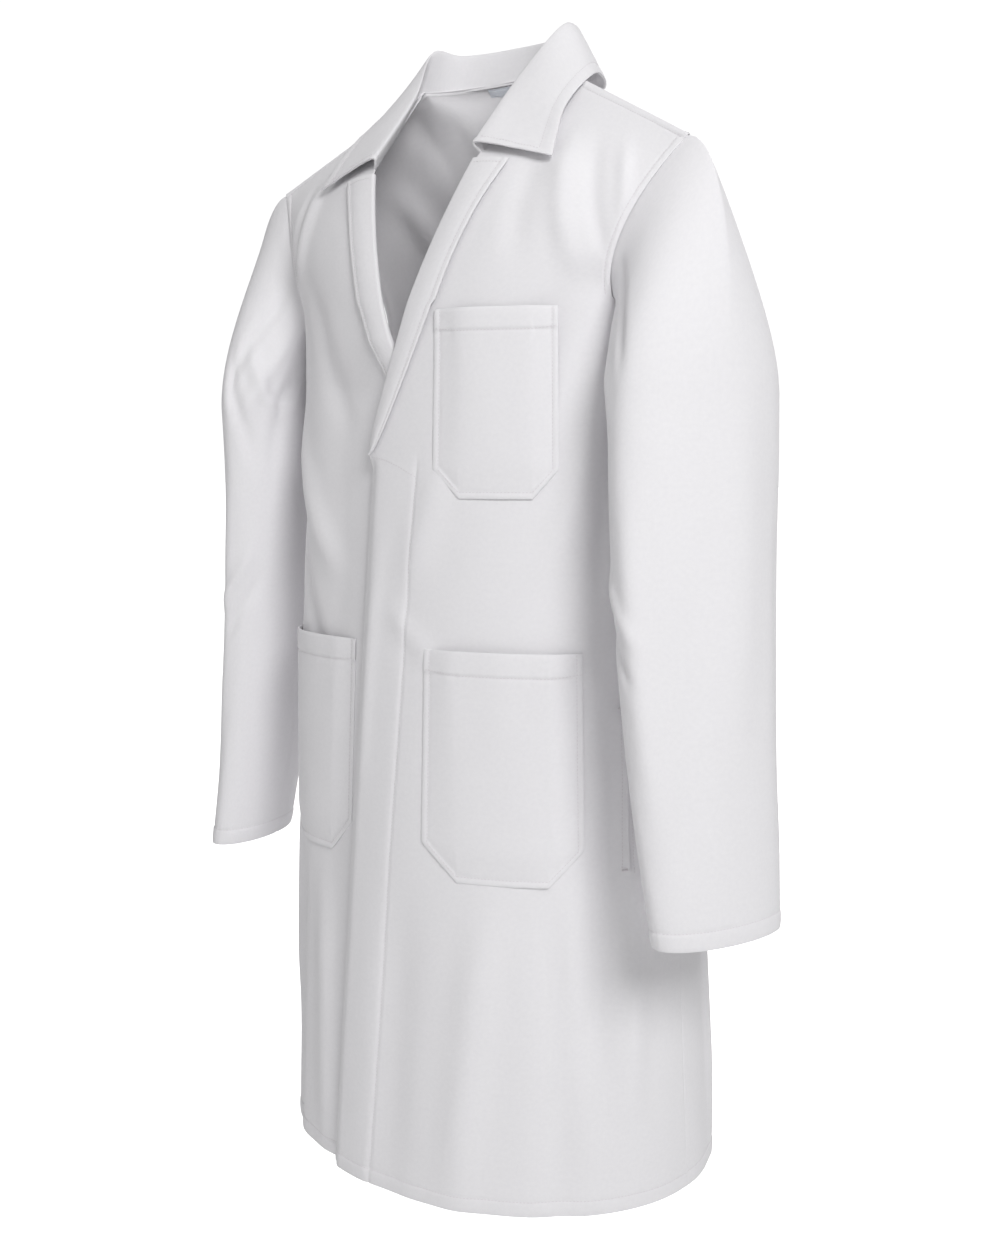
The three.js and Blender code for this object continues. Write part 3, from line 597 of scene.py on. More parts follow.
class Nodes:
    """Adds and joins the nodes of one tree."""

    def __init__(self, tree: bpy.types.NodeTree) -> None:
        """Takes the tree to work in."""
        self.tree = tree

    def fill(self, node: bpy.types.Node, values: Inputs) -> None:
        """Sets a node's inputs, each to a value or to the output that feeds it."""
        for key, value in values.items():
            if isinstance(value, bpy.types.NodeSocket):
                self.tree.links.new(value, node.inputs[key])
            else:
                node.inputs[key].default_value = value

    def add(self, kind: str, values: Inputs | None = None, **settings: object) -> bpy.types.Node:
        """Adds a node.

        Args:
            kind: The node's type, without its common start.
            values: Each input's value, or the output that feeds it.
            **settings: The node's own settings.

        Returns:
            The node.
        """
        node = self.tree.nodes.new(kind if kind.startswith("NodeGroup") else "ShaderNode" + kind)
        for word, value in settings.items():
            setattr(node, word, value)
        self.fill(node, values or {})
        return node

    def sum(self, operation: str, a: object, b: object = 0.0) -> bpy.types.NodeSocket:
        """The result of a sum of two numbers."""
        return self.add("Math", {0: a, 1: b}, operation=operation).outputs[0]

    def bump(self, strength: float, depth: float, height: object, **over: object) -> bpy.types.NodeSocket:
        """A bump of a depth in millimetres, over the bare surface or another bump's Normal."""
        values = {"Strength": strength, "Distance": depth * MM, "Height": height, **over}
        return self.add("Bump", values).outputs["Normal"]

    def glow(self, lighting: float, seen: float) -> bpy.types.NodeSocket:
        """A strength that differs between the light given and what the camera sees."""
        ray = self.add("LightPath").outputs["Is Camera Ray"]
        return self.add("MapRange", {"Value": ray, "To Min": lighting, "To Max": seen}).outputs["Result"]


def painted(name: str) -> tuple[bpy.types.Material, Nodes, bpy.types.Node]:
    """A new material, its nodes and its shader."""
    material = bpy.data.materials.new(name)
    material.use_nodes = True
    return material, Nodes(material.node_tree), material.node_tree.nodes["Principled BSDF"]


def twill_group() -> bpy.types.NodeTree:
    """The weave of a drill: slanting ribs crossed by fine threads, as a height and a tone."""
    tree = group("twill_weave", {"Rib": 0.9, "Slub": 0.35}, ("Height", "Tone"))
    n = Nodes(tree)
    inside = n.add("NodeGroupInput").outputs
    parts = n.add("SeparateXYZ", {0: inside["Place"]}).outputs
    turns = n.sum("DIVIDE", 2 * math.pi * 1000, inside["Rib"])
    slant = n.sum("ADD", parts["X"], n.sum("MULTIPLY", parts["Y"], 0.9))
    rib = n.sum("SINE", n.sum("MULTIPLY", slant, turns))
    across = n.sum("SUBTRACT", parts["X"], parts["Y"])
    thread = n.sum("SINE", n.sum("MULTIPLY", across, n.sum("MULTIPLY", turns, 2.0)))
    uneven = n.add("TexNoise", {"Vector": inside["Place"], "Scale": 260.0, "Detail": 3.0}).outputs["Fac"]
    slub = n.sum("MULTIPLY", uneven, inside["Slub"])
    woven = n.sum("ADD", n.sum("MULTIPLY", rib, 0.5), n.sum("MULTIPLY", thread, 0.18))
    height = n.sum("ADD", woven, n.sum("MULTIPLY", slub, 3.0))
    tone = n.sum("ADD", n.sum("MULTIPLY", woven, 0.12), uneven)
    n.add("NodeGroupOutput", {"Height": height, "Tone": tone})
    return tree


def crease_group() -> bpy.types.NodeTree:
    """The faint crumple that wear and ironing leave in cloth, as a height."""
    tree = group("soft_crumple", {"Size": 34.0}, ("Height",))
    n = Nodes(tree)
    inside = n.add("NodeGroupInput").outputs
    place, size = inside["Place"], inside["Size"]
    noise = n.add("TexNoise", {"Vector": place, "Scale": size, "Detail": 4.0, "Roughness": 0.45})
    n.add("NodeGroupOutput", {"Height": noise.outputs["Fac"]})
    return tree


@dataclass(frozen=True)
class ClothFinish:
    """A woven cloth's finish."""

    name: str
    light: tuple[float, float, float]
    dark: tuple[float, float, float]
    roughness: float
    sheen: float
    rib: float = 0.9
    weave_depth: float = 0.05
    crumple_depth: float = 1.2

    def material(self) -> bpy.types.Material:
        """Makes the material from the shared weave and crumple."""
        material, n, shader = painted(self.name)
        place = n.add("UVMap", uv_map="cloth").outputs["UV"]
        groups = bpy.data.node_groups
        weave = n.add("Group", {"Rib": self.rib, "Place": place}, node_tree=groups["twill_weave"]).outputs
        crumple = n.add("Group", {"Place": place}, node_tree=groups["soft_crumple"]).outputs
        tint = n.add("MixRGB", {0: weave["Tone"], 1: (*self.dark, 1), 2: (*self.light, 1)})
        wide = n.bump(0.5, self.crumple_depth, crumple["Height"])
        n.fill(shader, {
            "Base Color": tint.outputs[0],
            "Normal": n.bump(0.6, self.weave_depth, weave["Height"], Normal=wide),
            "Roughness": self.roughness,
            "Sheen Weight": self.sheen,
            "Sheen Roughness": 0.6,
            "Specular IOR Level": 0.25,
        })
        return material


@dataclass(frozen=True)
class SolidFinish:
    """Thread or moulded plastic: a fine grain on the piece's own coordinates."""

    name: str
    light: tuple[float, float, float]
    dark: tuple[float, float, float]
    roughness: float
    grain: float
    depth: float

    def material(self) -> bpy.types.Material:
        """Makes the material."""
        material, n, shader = painted(self.name)
        place = n.add("TexCoord").outputs["Object"]
        noise = n.add("TexNoise", {"Vector": place, "Scale": self.grain, "Detail": 3.0}).outputs["Fac"]
        tint = n.add("MixRGB", {0: noise, 1: (*self.dark, 1), 2: (*self.light, 1)})
        normal = n.bump(0.5, self.depth, noise)
        n.fill(shader, {"Base Color": tint.outputs[0], "Normal": normal, "Roughness": self.roughness})
        return material


class Wardrobe:
    """The coat's finishes, made once."""

    def __init__(self) -> None:
        """Makes the shared groups and the materials."""
        twill_group()
        crease_group()
        white, blue, grey = (0.86, 0.85, 0.868), (0.85, 0.88, 0.93), (0.82, 0.82, 0.83)
        lilac, lilac_shade = (0.78, 0.74, 0.77), (0.66, 0.62, 0.65)
        self.drill = ClothFinish("white_drill", white, (0.80, 0.79, 0.812), 0.86, 0.12).material()
        self.tape = ClothFinish("label_satin", blue, (0.76, 0.80, 0.88), 0.45, 0.2, 0.5).material()
        self.thread = SolidFinish("sewing_thread", lilac, lilac_shade, 0.6, 900.0, 0.1).material()
        self.stud = SolidFinish("stud_plastic", grey, (0.76, 0.76, 0.77), 0.32, 300.0, 0.03).material()


# ------------------------------------------------------------------ hinges across the joints


@dataclass(frozen=True)
class Hinge:
    """Where cloth would bend from one body to another: between two planes, in the frame's metres. Nothing here
    bends it.
    """

    still: str
    moving: str
    start: tuple[float, float, float]
    end: tuple[float, float, float]

    def bend(self, obj: bpy.types.Object) -> None:
        """Bakes a finished piece's placement into its mesh; the piece is not bent."""
        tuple(self.start)
        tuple(self.end)
        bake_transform(obj)


def hinge_on(hand: Hand, moving: str, run: Array, ends: tuple[float, float]) -> Hinge:
    """A hinge on either side, drawn on the wearer's left.

    Args:
        hand: The side that it is on.
        moving: The moving body's name, without its side.
        run: The way that the bend runs.
        ends: Where it starts and ends along the run, in metres.

    Returns:
        The hinge.
    """
    places = (run * end + [0, 0, -NAPE[2] * MM] for end in ends)
    start, end = ((float(place[0]) * hand.value, 0.0, float(place[2])) for place in places)
    return Hinge("torso", f"{hand.word}_{moving}", start, end)


def front_hinge(hand: Hand) -> Hinge:
    """The hinge where a front would open, from beside its pocket, while the seams at its side and shoulder
    stay; the front is not opened.
    """
    run = point(1.0, 0.0, 0.1)
    return hinge_on(hand, "panel", run / run.dot(run), (0.19, 0.06 if hand is Hand.LEFT else 0.072))


def sleeve_hinge(hand: Hand) -> Hinge:
    """The hinge where a sleeve would be raised from the armhole, which stays; the sleeve is not raised."""
    return hinge_on(hand, "arm", point(0.971, 0.0, -0.238), (0.009, 0.15))


# ------------------------------------------------------------------ stitching


class Stitching:
    """Rows of lockstitch, each stitch a small spindle of thread lying in its groove."""

    def __init__(self, name: str, long: float = 2.5, pitch: float = 3.3, thick: float = 0.5) -> None:
        """Starts with no rows.

        Args:
            name: The piece's name.
            long: A stitch's length.
            pitch: The distance from one stitch to the next.
            thick: The thread's thickness.
        """
        self.name, self.long, self.pitch, self.thick = name, long, pitch, thick
        self.frames: list[tuple[Array, Array, Array]] = []

    def row(self, points: Array, normals: Array) -> None:
        """Adds a row of stitches along a line on the cloth."""
        steps = np.linalg.norm(np.diff(points, axis=0), axis=1)
        run = np.concatenate([[0.0], np.cumsum(steps)])
        places = np.arange(self.pitch / 2, run[-1], self.pitch)
        if len(places) < 2:
            return
        centre, ahead, out = (
            np.stack([np.interp(p, run, v[:, k]) for k in range(3)], axis=1)
            for p, v in ((places, points), (places + 0.5, points), (places, normals))
        )
        self.frames.append((centre, unit(ahead - centre), unit(out)))

    def along(self, sheet: Sheet, a: Array | float, b: Array | float) -> None:
        """Adds a row over the places (a, b) of a sheet's grid."""
        self.row(*sheet.at(*np.broadcast_arrays(a, b)))

    def satin(self, centre: Array, along: Array, out: Array, length: float, count: int = 16) -> None:
        """Adds a bar tack: close threads side by side along a line."""
        t = np.linspace(-length / 2, length / 2, count)[:, None]
        across = unit(np.cross(out, along))
        spread = np.ones((count, 1))
        self.frames.append((centre + along * t, across * spread, out * spread))

    def build(self) -> bpy.types.Object:
        """Makes one mesh of all the rows."""
        bm = bmesh.new()
        bmesh.ops.create_icosphere(bm, subdivisions=1, radius=0.5)
        bm.verts.ensure_lookup_table()
        form = np.array([v.co for v in bm.verts]) * [self.long, self.thick, self.thick]
        faces = np.array([[v.index for v in f.verts] for f in bm.faces])
        bm.free()
        centre, along, out = (np.concatenate([f[k] for f in self.frames]) for k in range(3))
        side = unit(np.cross(out, along))
        out = np.cross(along, side)
        points = (
            centre[:, None]
            + along[:, None] * form[None, :, 0:1]
            + side[:, None] * form[None, :, 1:2]
            + out[:, None] * (form[None, :, 2:3] + self.thick * 0.3)
        )
        index = faces[None] + np.arange(len(centre))[:, None, None] * len(form)
        mesh = bpy.data.meshes.new(self.name)
        mesh.from_pydata(placed(points).reshape(-1, 3).tolist(), [], index.reshape(-1, 3).tolist())
        mesh.polygons.foreach_set("use_smooth", [True] * len(mesh.polygons))
        return shown(self.name, mesh)


# ------------------------------------------------------------------ the coat's pieces


class Tailor:
    """Sews pieces on: gives each its finish, and its body where it rides on one; hides the CAD nodes that it
    stands for and logs its size.
    """

    def __init__(self, wardrobe: Wardrobe) -> None:
        """Takes the finishes."""
        self.wardrobe = wardrobe

    def dress(
        self,
        obj: bpy.types.Object,
        material: bpy.types.Material,
        holder: Hinge | str,
        nodes: Sequence[str] = (),
    ) -> bpy.types.Object:
        """holder: The hinge that it would bend over, which only bakes its placement, or the body that it rides
        on.
            nodes: The CAD nodes that it stands for.

        Returns:
            The piece.
        """
        obj.data.materials.clear()
        obj.data.materials.append(material)
        if isinstance(holder, Hinge):
            holder.bend(obj)
        else:
            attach(obj, holder)
        if nodes:
            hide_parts(*nodes)
        LOG.info("%s: %d faces", obj.name, len(obj.data.polygons))
        return obj

    def cloth(
        self,
        sheet: Sheet,
        flat: tuple[float, float],
        held: str,
        rests_on: Sequence[str],
        holder: Hinge | str,
        nodes: Sequence[str],
        thickness: float = 1.3,
    ) -> None:
        """Builds and finishes a piece of the coat's cloth and logs its area."""
        obj = self.dress(sheet.build(thickness), self.wardrobe.drill, holder, nodes)
        cut, whole = sheet.area(), flat[0] * flat[1]
        LOG.info("%s: cloth %.4f m2, cut %.3f x %.3f m", sheet.name, cut, *flat)
        share = min(max(cut, LEAST_SHARE * whole), whole)

    def sewn(self, stitching: Stitching, holder: Hinge | str, nodes: Sequence[str] = ()) -> None:
        """Builds and finishes rows of stitches."""
        self.dress(stitching.build(), self.wardrobe.thread, holder, nodes)


@dataclass(frozen=True)
class Front:
    """A front: from its free edge and roll line round to the side seam, and up to the shoulder."""

    block: Block
    hand: Hand
    parallel: float = 72.0
    wide: float = 205.0
    side_wide: float = 80.0
    hem: float = 14.0
    fly_stitch: float = 60.0
    slit_angle: float = 1.2
    slit: tuple[float, float] = (322.0, 470.0)
    flat: tuple[float, float] = (0.405, 1.07)
    arm_seam: float = 8.0
    shoulder_seam: float = 7.0
    edge_sink: float = 6.5

    @property
    def top(self) -> float:
        """The shoulder seam's place up the cloth."""
        return self.block.front_top + self.block.rise_length

    @property
    def folds(self) -> list[Fold]:
        """The folds that hang in this front, from (across from the centre, height)."""
        if self.hand is Hand.LEFT:
            return [
                Fold((118, 330), (84, -60), 24, 4.5, 6),
                Fold((168, 330), (186, -60), 20, -4.5, -4),
                Fold((228, 420), (214, 60), 22, -7.0, 6),
                Fold((252, 470), (250, 40), 18, 4.0),
                Fold((24, 330), (8, -60), 26, -3.0),
                Fold((196, 900), (96, 640), 26, -3.0, 6),
                Fold((212, 830), (150, 560), 18, 3.2, -6),
                Fold((226, 800), (196, 520), 14, -3.0),
                Fold((60, 700), (20, 560), 20, 2.4),
                Fold((-10, 640), (-36, 360), 10, 1.6, 3),
                Fold((86, 1035), (176, 846), 13, 3.2, 8),
                Fold((112, 1030), (196, 872), 10, -2.6, 6),
                Fold((140, 1040), (206, 900), 9, 2.6, 4),
                Fold((70, 1010), (120, 850), 15, -2.0, 6),
                Fold((-6, 560), (60, 500), 12, 1.6),
            ]
        return [
            Fold((110, 330), (96, -60), 22, 4.5, 4),
            Fold((160, 360), (176, -60), 20, -4.5, -4),
            Fold((220, 420), (226, 60), 20, 4.0, 6),
            Fold((196, 760), (70, 560), 20, 4.2, -10),
            Fold((214, 700), (96, 470), 16, -3.6, -8),
            Fold((150, 900), (60, 700), 18, -2.6, -8),
            Fold((96, 1030), (180, 860), 13, 3.0, 8),
            Fold((130, 1030), (200, 880), 10, -2.6, 6),
            Fold((186, 560), (150, 300), 16, 2.6),
        ]

    def lay(self) -> Sheet:
        """Lays out the front and gives it its folds, seams and edges."""
        block, hand = self.block, self.hand
        columns = ruler(0, self.wide, 4.4, (5, self.fly_stitch, self.wide - self.arm_seam))
        side = ruler(0, self.side_wide, 4.6, (self.slit_place, self.side_wide - 3))[1:] + self.wide
        low = ruler(0, block.front_top, 6.0, (self.hem,))
        high = ruler(block.front_top, self.top, 5.0, (self.top - self.shoulder_seam,))
        rows = np.concatenate([low, high[1:]])
        sheet = Sheet(f"{hand.word}_front_cloth", np.concatenate([columns, side]), rows, self.shape)
        over = (sheet.a > self.wide + 1e-6) & (sheet.b > block.front_top + 1e-6)
        sheet.kept &= ~over
        sheet.s = sheet.s + block.inner_x(np.minimum(sheet.b, block.front_top), hand)
        off_arm = ease((self.wide - sheet.a) / 30)
        sheet.settle(np.exp(-(((sheet.b - block.front_top) / 34) ** 2)) * off_arm, 0, 40)
        return sheet.raised(self.relief(sheet))

    @property
    def slit_place(self) -> float:
        """How far round the side part the pocket slit lies."""
        return self.side_wide * (self.slit_angle - self.block.front_arm) / (SIDE - self.block.front_arm)

    def angle(self, a: Array, h: Array) -> Array:
        """The angle of the column a at height h."""
        block = self.block
        inner = block.inner_x(h, self.hand)
        near = block.angle_at(inner + np.minimum(a, self.parallel), h)
        t = np.clip((a - self.parallel) / (self.wide - self.parallel), 0, 1)
        main = lerp(near, block.front_arm, t)
        beyond = np.clip((a - self.wide) / self.side_wide, 0, 1)
        return lerp(main, SIDE, beyond)

    def shape(self, a: Array, b: Array) -> Array:
        """The front's surface without its folds."""
        block = self.block
        h = np.minimum(b, block.front_top)
        angle = self.angle(a, h)
        low = block.skin(angle, h * block.side_top(angle) / block.front_top, self.hand)
        inner = self.angle(0 * a, 0 * a + block.front_top)
        across = np.clip((self.angle(a, 0 * a + block.front_top) - inner) / (block.front_arm - inner), 0, 1)
        rise = np.clip((b - block.front_top) / block.rise_length, 0, 1)
        return np.where((b > block.front_top)[..., None], block.front_chest(across, rise), low)

    def relief(self, sheet: Sheet) -> Array:
        """The cloth's lift from folds, hems, seams and stitches."""
        block, s, h, a = self.block, sheet.s, sheet.h, sheet.a
        arm, shoulder = self.wide - a, self.top - h
        lift = folded(self.folds, s, h) + 0.8 * ripple(s, h, 70, 3 + self.hand.value)
        calm = ease(a / 26) * ease((self.wide + self.side_wide - a) / 20) * ease(shoulder / 26)
        calm = calm * np.where(h > block.front_top - 30, ease(arm / 22), 1)
        lift = lift * calm + hemmed(h, self.hem, s, 5, 0.6)
        arm = np.where(h > block.front_top, arm, 60.0)
        seam = ease((h - block.front_top) / 20) * ease((shoulder - 3) / 12)
        lift = lift + seam * hemmed(arm, self.arm_seam, h, 7, 0.5)
        lift = lift + turned(shoulder, self.shoulder_seam, 0.5) + stitched(shoulder - self.shoulder_seam)
        if self.hand is Hand.LEFT:
            fly, below = a - self.fly_stitch, ease((block.break_height - h) / 12)
            strip = stitched(fly, 0.7, 1.7) + puckered(fly, h, 9) + 0.7 * ease(-fly / 6)
            lift = lift + below * (strip - self.edge_sink * (1 - ease(a / 16)) ** 1.3)
        ends = ease((h - self.slit[0]) / 6) * ease((self.slit[1] - h) / 6)
        slit = a - self.wide - self.slit_place
        lip = 2.2 * ease((slit + 16) / 14) * (slit < 0.2)
        under = 1.6 * (slit >= 0.2) * (1 - ease(slit / 14))
        return lift + ends * (lip - under)

    def stitches(self, sheet: Sheet) -> Stitching:
        """The rows of stitches on this front."""
        block, sign = self.block, self.hand.value
        thread = Stitching(f"{self.hand.word}_front_stitching")
        thread.along(sheet, sign * np.linspace(2, self.wide + self.side_wide - 2, 260), self.hem)
        up = np.linspace(block.front_top + 4, self.top - 6, 160)
        thread.along(sheet, sign * (self.wide - self.arm_seam), up)
        thread.along(sheet, sign * np.linspace(60, self.wide - 4, 120), self.top - self.shoulder_seam)
        if self.hand is Hand.LEFT:
            fly, end = self.fly_stitch, block.break_height - 20
            thread.along(sheet, fly, np.linspace(18, end, 260))
            turn = np.linspace(0, fly - 2, 40)
            thread.along(sheet, fly - turn, end + 18 * np.sin(turn / fly * SIDE))
        for off in (-6.0, 5.0):
            thread.along(sheet, sign * (self.wide + self.slit_place + off), np.linspace(*self.slit, 80))
        return thread

    def make(self, tailor: Tailor) -> None:
        """Builds the front and its stitching."""
        word, hinge = self.hand.word, front_hinge(self.hand)
        sheet = self.lay().on(self.hand)
        nodes = [f"{word}_front", f"{word}_front_side", f"{word}_front_chest"]
        tailor.cloth(sheet, self.flat, "hung", ["collar_cloth"], hinge, nodes)
        tailor.sewn(self.stitches(sheet), hinge)


@dataclass(frozen=True)
class Back:
    """The back: from side seam to side seam, hem to neck and shoulders, with a seam down its middle."""

    block: Block
    hem: float = 14.0
    wide: float = 690.0
    flat: tuple[float, float] = (0.70, 1.10)
    arm_seam: float = 8.0
    shoulder_seam: float = 7.0
    centre_seam: float = 6.0
    side_tuck: float = 1.6

    folds = (
        Fold((60, 420), (96, -60), 26, 5.0, 6),
        Fold((-70, 420), (-104, -60), 26, 5.0, -6),
        Fold((150, 380), (176, -60), 22, -5.0),
        Fold((-150, 380), (-176, -60), 22, -5.0),
        Fold((236, 420), (250, -60), 20, 4.5),
        Fold((-236, 420), (-250, -60), 20, 4.5),
        Fold((20, 620), (14, 240), 18, -3.0),
        Fold((170, 980), (120, 760), 18, -3.6, 8),
        Fold((-170, 980), (-120, 760), 18, -3.6, -8),
        Fold((196, 900), (130, 620), 20, 3.6, 8),
        Fold((-196, 900), (-130, 620), 20, 3.6, -8),
        Fold((120, 1046), (60, 900), 20, 2.4),
        Fold((-120, 1046), (-60, 900), 20, 2.4),
    )

    def shape(self, a: Array, b: Array) -> Array:
        """The back's surface; columns run from the left side seam round to the right one."""
        block = self.block
        tuck = 0.012
        angle = lerp(SIDE - tuck, 3 * SIDE + tuck, a / self.wide)
        low = block.body(angle, np.minimum(b, block.chest))
        half = np.abs(angle - 2 * SIDE) / (2 * SIDE - block.back_arm)
        rise = np.clip((b - block.chest) / block.rise_length, 0, 1)
        high = block.back_chest(np.clip(half, 0, 1), rise)
        high = high * xyz(np.where(angle > 2 * SIDE, -1.0, 1.0), 1.0, 1.0)
        return np.where((b > block.chest)[..., None], high, low)

    @property
    def top(self) -> float:
        """The shoulder seam's place up the cloth."""
        return self.block.chest + self.block.rise_length

    @property
    def arm(self) -> float:
        """How far round the cloth the left armhole's foot lies."""
        return self.wide * (self.block.back_arm - SIDE) / (2 * SIDE)

    @property
    def neck(self) -> float:
        """How far round the cloth the neck's left end lies."""
        block = self.block
        chest = 1 - block.back_arm / (2 * SIDE)
        return self.wide / 2 * (1 - chest * 2 * block.neck[0] / block.shoulder[0])

    def lay(self) -> Sheet:
        """Lays out the back and gives it its folds, seams and edges."""
        block, wide, arm, seam, top = self.block, self.wide, self.arm, self.arm_seam, self.top
        middle = wide / 2
        half_marks = (seam, arm, arm + seam, self.neck)
        columns = ruler(0, wide, 5.4, (*half_marks, middle, *(wide - m for m in half_marks[::-1])))
        high = ruler(block.chest, top, 5.2, (top - self.shoulder_seam,))
        rows = np.concatenate([ruler(0, block.chest, 6.0, (self.hem,)), high[1:]])
        sheet = Sheet("back_cloth", columns, rows, self.shape)
        past_arm = (sheet.a < arm - 0.5) | (sheet.a > wide - arm + 0.5)
        sheet.kept &= ~(past_arm & (sheet.b > block.chest + 1e-6))
        sheet.s = sheet.a - middle
        s, h = sheet.s, sheet.h
        off_arm = ease((middle - arm - np.abs(s)) / 30)
        sheet.settle(np.exp(-(((h - block.chest) / 45) ** 2)) * off_arm, 0, 60)
        inner = off_arm * ease((top - h - 6) / 90)
        sheet.settle(inner * ease((h - block.chest + 40) / 60), 1, 120)
        sheet.raised(self.relief(s, h))
        edge = sheet.normals() * self.side_tuck
        for column in (0, -1):
            sheet.points[:, column] -= edge[:, column]
        return sheet

    def relief(self, s: Array, h: Array) -> Array:
        """The cloth's lift from folds, hems, seams and stitches."""
        block, half, shoulder = self.block, np.abs(s), self.top - h
        to_edge = self.wide / 2 - half
        to_arm = np.where(h > block.chest - 26, to_edge - self.arm, 60.0)
        lift = folded(self.folds, s, h) + 0.9 * ripple(s, h, 80, 11)
        lift = lift * ease(to_edge / 22) * ease(to_arm / 22) * ease(shoulder / 24)
        lift = lift + hemmed(h, self.hem, s, 6, 0.6)
        lift = lift + stitched(half, 0.8, 1.8) + stitched(half - self.centre_seam, 0.45) * (s > 0)
        lift = lift + ease((h - block.chest) / 20) * hemmed(to_arm, self.arm_seam, h, 8, 0.5)
        return lift + stitched(shoulder - self.shoulder_seam) + turned(shoulder, self.shoulder_seam, 0.6)

    def stitches(self, sheet: Sheet) -> Stitching:
        """The back's rows of stitches."""
        block, wide, arm, neck, top = self.block, self.wide, self.arm, self.neck, self.top
        thread = Stitching("back_stitching")
        thread.along(sheet, np.linspace(4, wide - 4, 400), self.hem)
        thread.along(sheet, wide / 2 - self.centre_seam, np.linspace(18, top - 12, 320))
        for place in (arm + self.arm_seam, wide - arm - self.arm_seam):
            thread.along(sheet, place, np.linspace(block.chest + 4, top - 6, 140))
        for ends in ((arm + 6, neck - 4), (wide - neck + 4, wide - arm - 6)):
            thread.along(sheet, np.linspace(*ends, 120), top - self.shoulder_seam)
        return thread

    def make(self, tailor: Tailor) -> None:
        """Builds the back and its stitching."""
        sheet = self.lay()
        nodes = ["left_back", "right_back", "left_back_chest", "right_back_chest"]
        tailor.cloth(sheet, self.flat, "hung", ["collar_cloth"], "torso", nodes)
        tailor.sewn(self.stitches(sheet), "torso")


@dataclass(frozen=True)
class Lapel:
    """A lapel: it rolls over the front's edge and lies back on the chest."""

    block: Block
    hand: Hand
    width: float = 34.0
    least: float = 3.0
    roll_radius: float = 2.7
    lift: float = 3.0
    long: float = 305.0
    flat: tuple[float, float] = (0.06, 0.31)
    leaf: float = 30.0
    inset: float = 5.0
    belly: float = 1.6

    def skin(self, distance: Array, share: Array) -> Array:
        """The front's surface beside the roll line, a distance in from it."""
        block = self.block
        h = lerp(block.break_height, block.gorge[2], share)
        low_h = np.minimum(h, block.front_top)
        start = block.angle_at(block.inner_x(low_h, Hand.LEFT), low_h)
        low = block.skin(start + distance / block.chest_width, low_h, self.hand)
        rise = block.gorge_rise * (share - block.roll_at_top) / (1 - block.roll_at_top)
        high = block.front_chest(distance / block.chest_width, np.clip(rise, 0, 1))
        return np.where((h > block.front_top)[..., None], high, low)

    def shape(self, a: Array, b: Array) -> Array:
        """The lapel's surface: a from behind the edge, round the roll, to the outer edge."""
        share = lerp(0.0, 0.985, b / self.long)
        reach = self.least + self.width * np.sqrt(share) * (1 + 0.10 * ease((share - 0.8) / 0.2))
        t = np.clip(a, 0, 1)
        skin = self.skin(reach * t, share)
        step, climb = 0.5, 0.004
        across, up = self.skin(reach * t + step, share), self.skin(reach * t, share + climb)
        out = unit(np.cross(across - skin, up - skin))
        away = unit(self.skin(step + 0 * share, share) - self.skin(0 * share, share))
        turn = np.clip(-a, 0, 1) * math.pi
        radius = self.roll_radius * ease(share / 0.12 + 0.25)
        leaf = lerp(radius, self.lift, t) + self.belly * np.sin(math.pi * t)
        lift = np.where(a < 0, radius * np.cos(turn), leaf)
        back = np.where(a < 0, radius * np.sin(turn), 0.0)
        return skin + out * lift[..., None] - away * back[..., None]

    def make(self, tailor: Tailor) -> None:
        """Builds the lapel and its edge stitching."""
        word, sign, hinge = self.hand.word, self.hand.value, front_hinge(self.hand)
        columns = np.concatenate([np.linspace(-1, 0, 9)[:-1], np.linspace(0, 1, 19)])
        rows = ruler(0, self.long, 5.0, (self.long - self.inset,))
        sheet = Sheet(f"{word}_lapel_cloth", columns, rows, self.shape)
        sheet.s = sheet.a * self.width
        sheet.raised(hemmed((1 - sheet.a) * self.leaf, self.inset, sheet.h, 15, 0.5)).on(self.hand)
        front = f"{word}_front_cloth"
        tailor.cloth(sheet, self.flat, "folded", [front], hinge, [f"{word}_lapel"], thickness=1.5)
        thread = Stitching(f"{word}_lapel_stitching")
        edge = sign * (1 - self.inset / self.leaf)
        thread.along(sheet, edge, np.linspace(20, self.long - self.inset, 160))
        thread.along(sheet, sign * np.linspace(0.05, 0.84, 30), self.long - self.inset)
        tailor.sewn(thread, hinge)


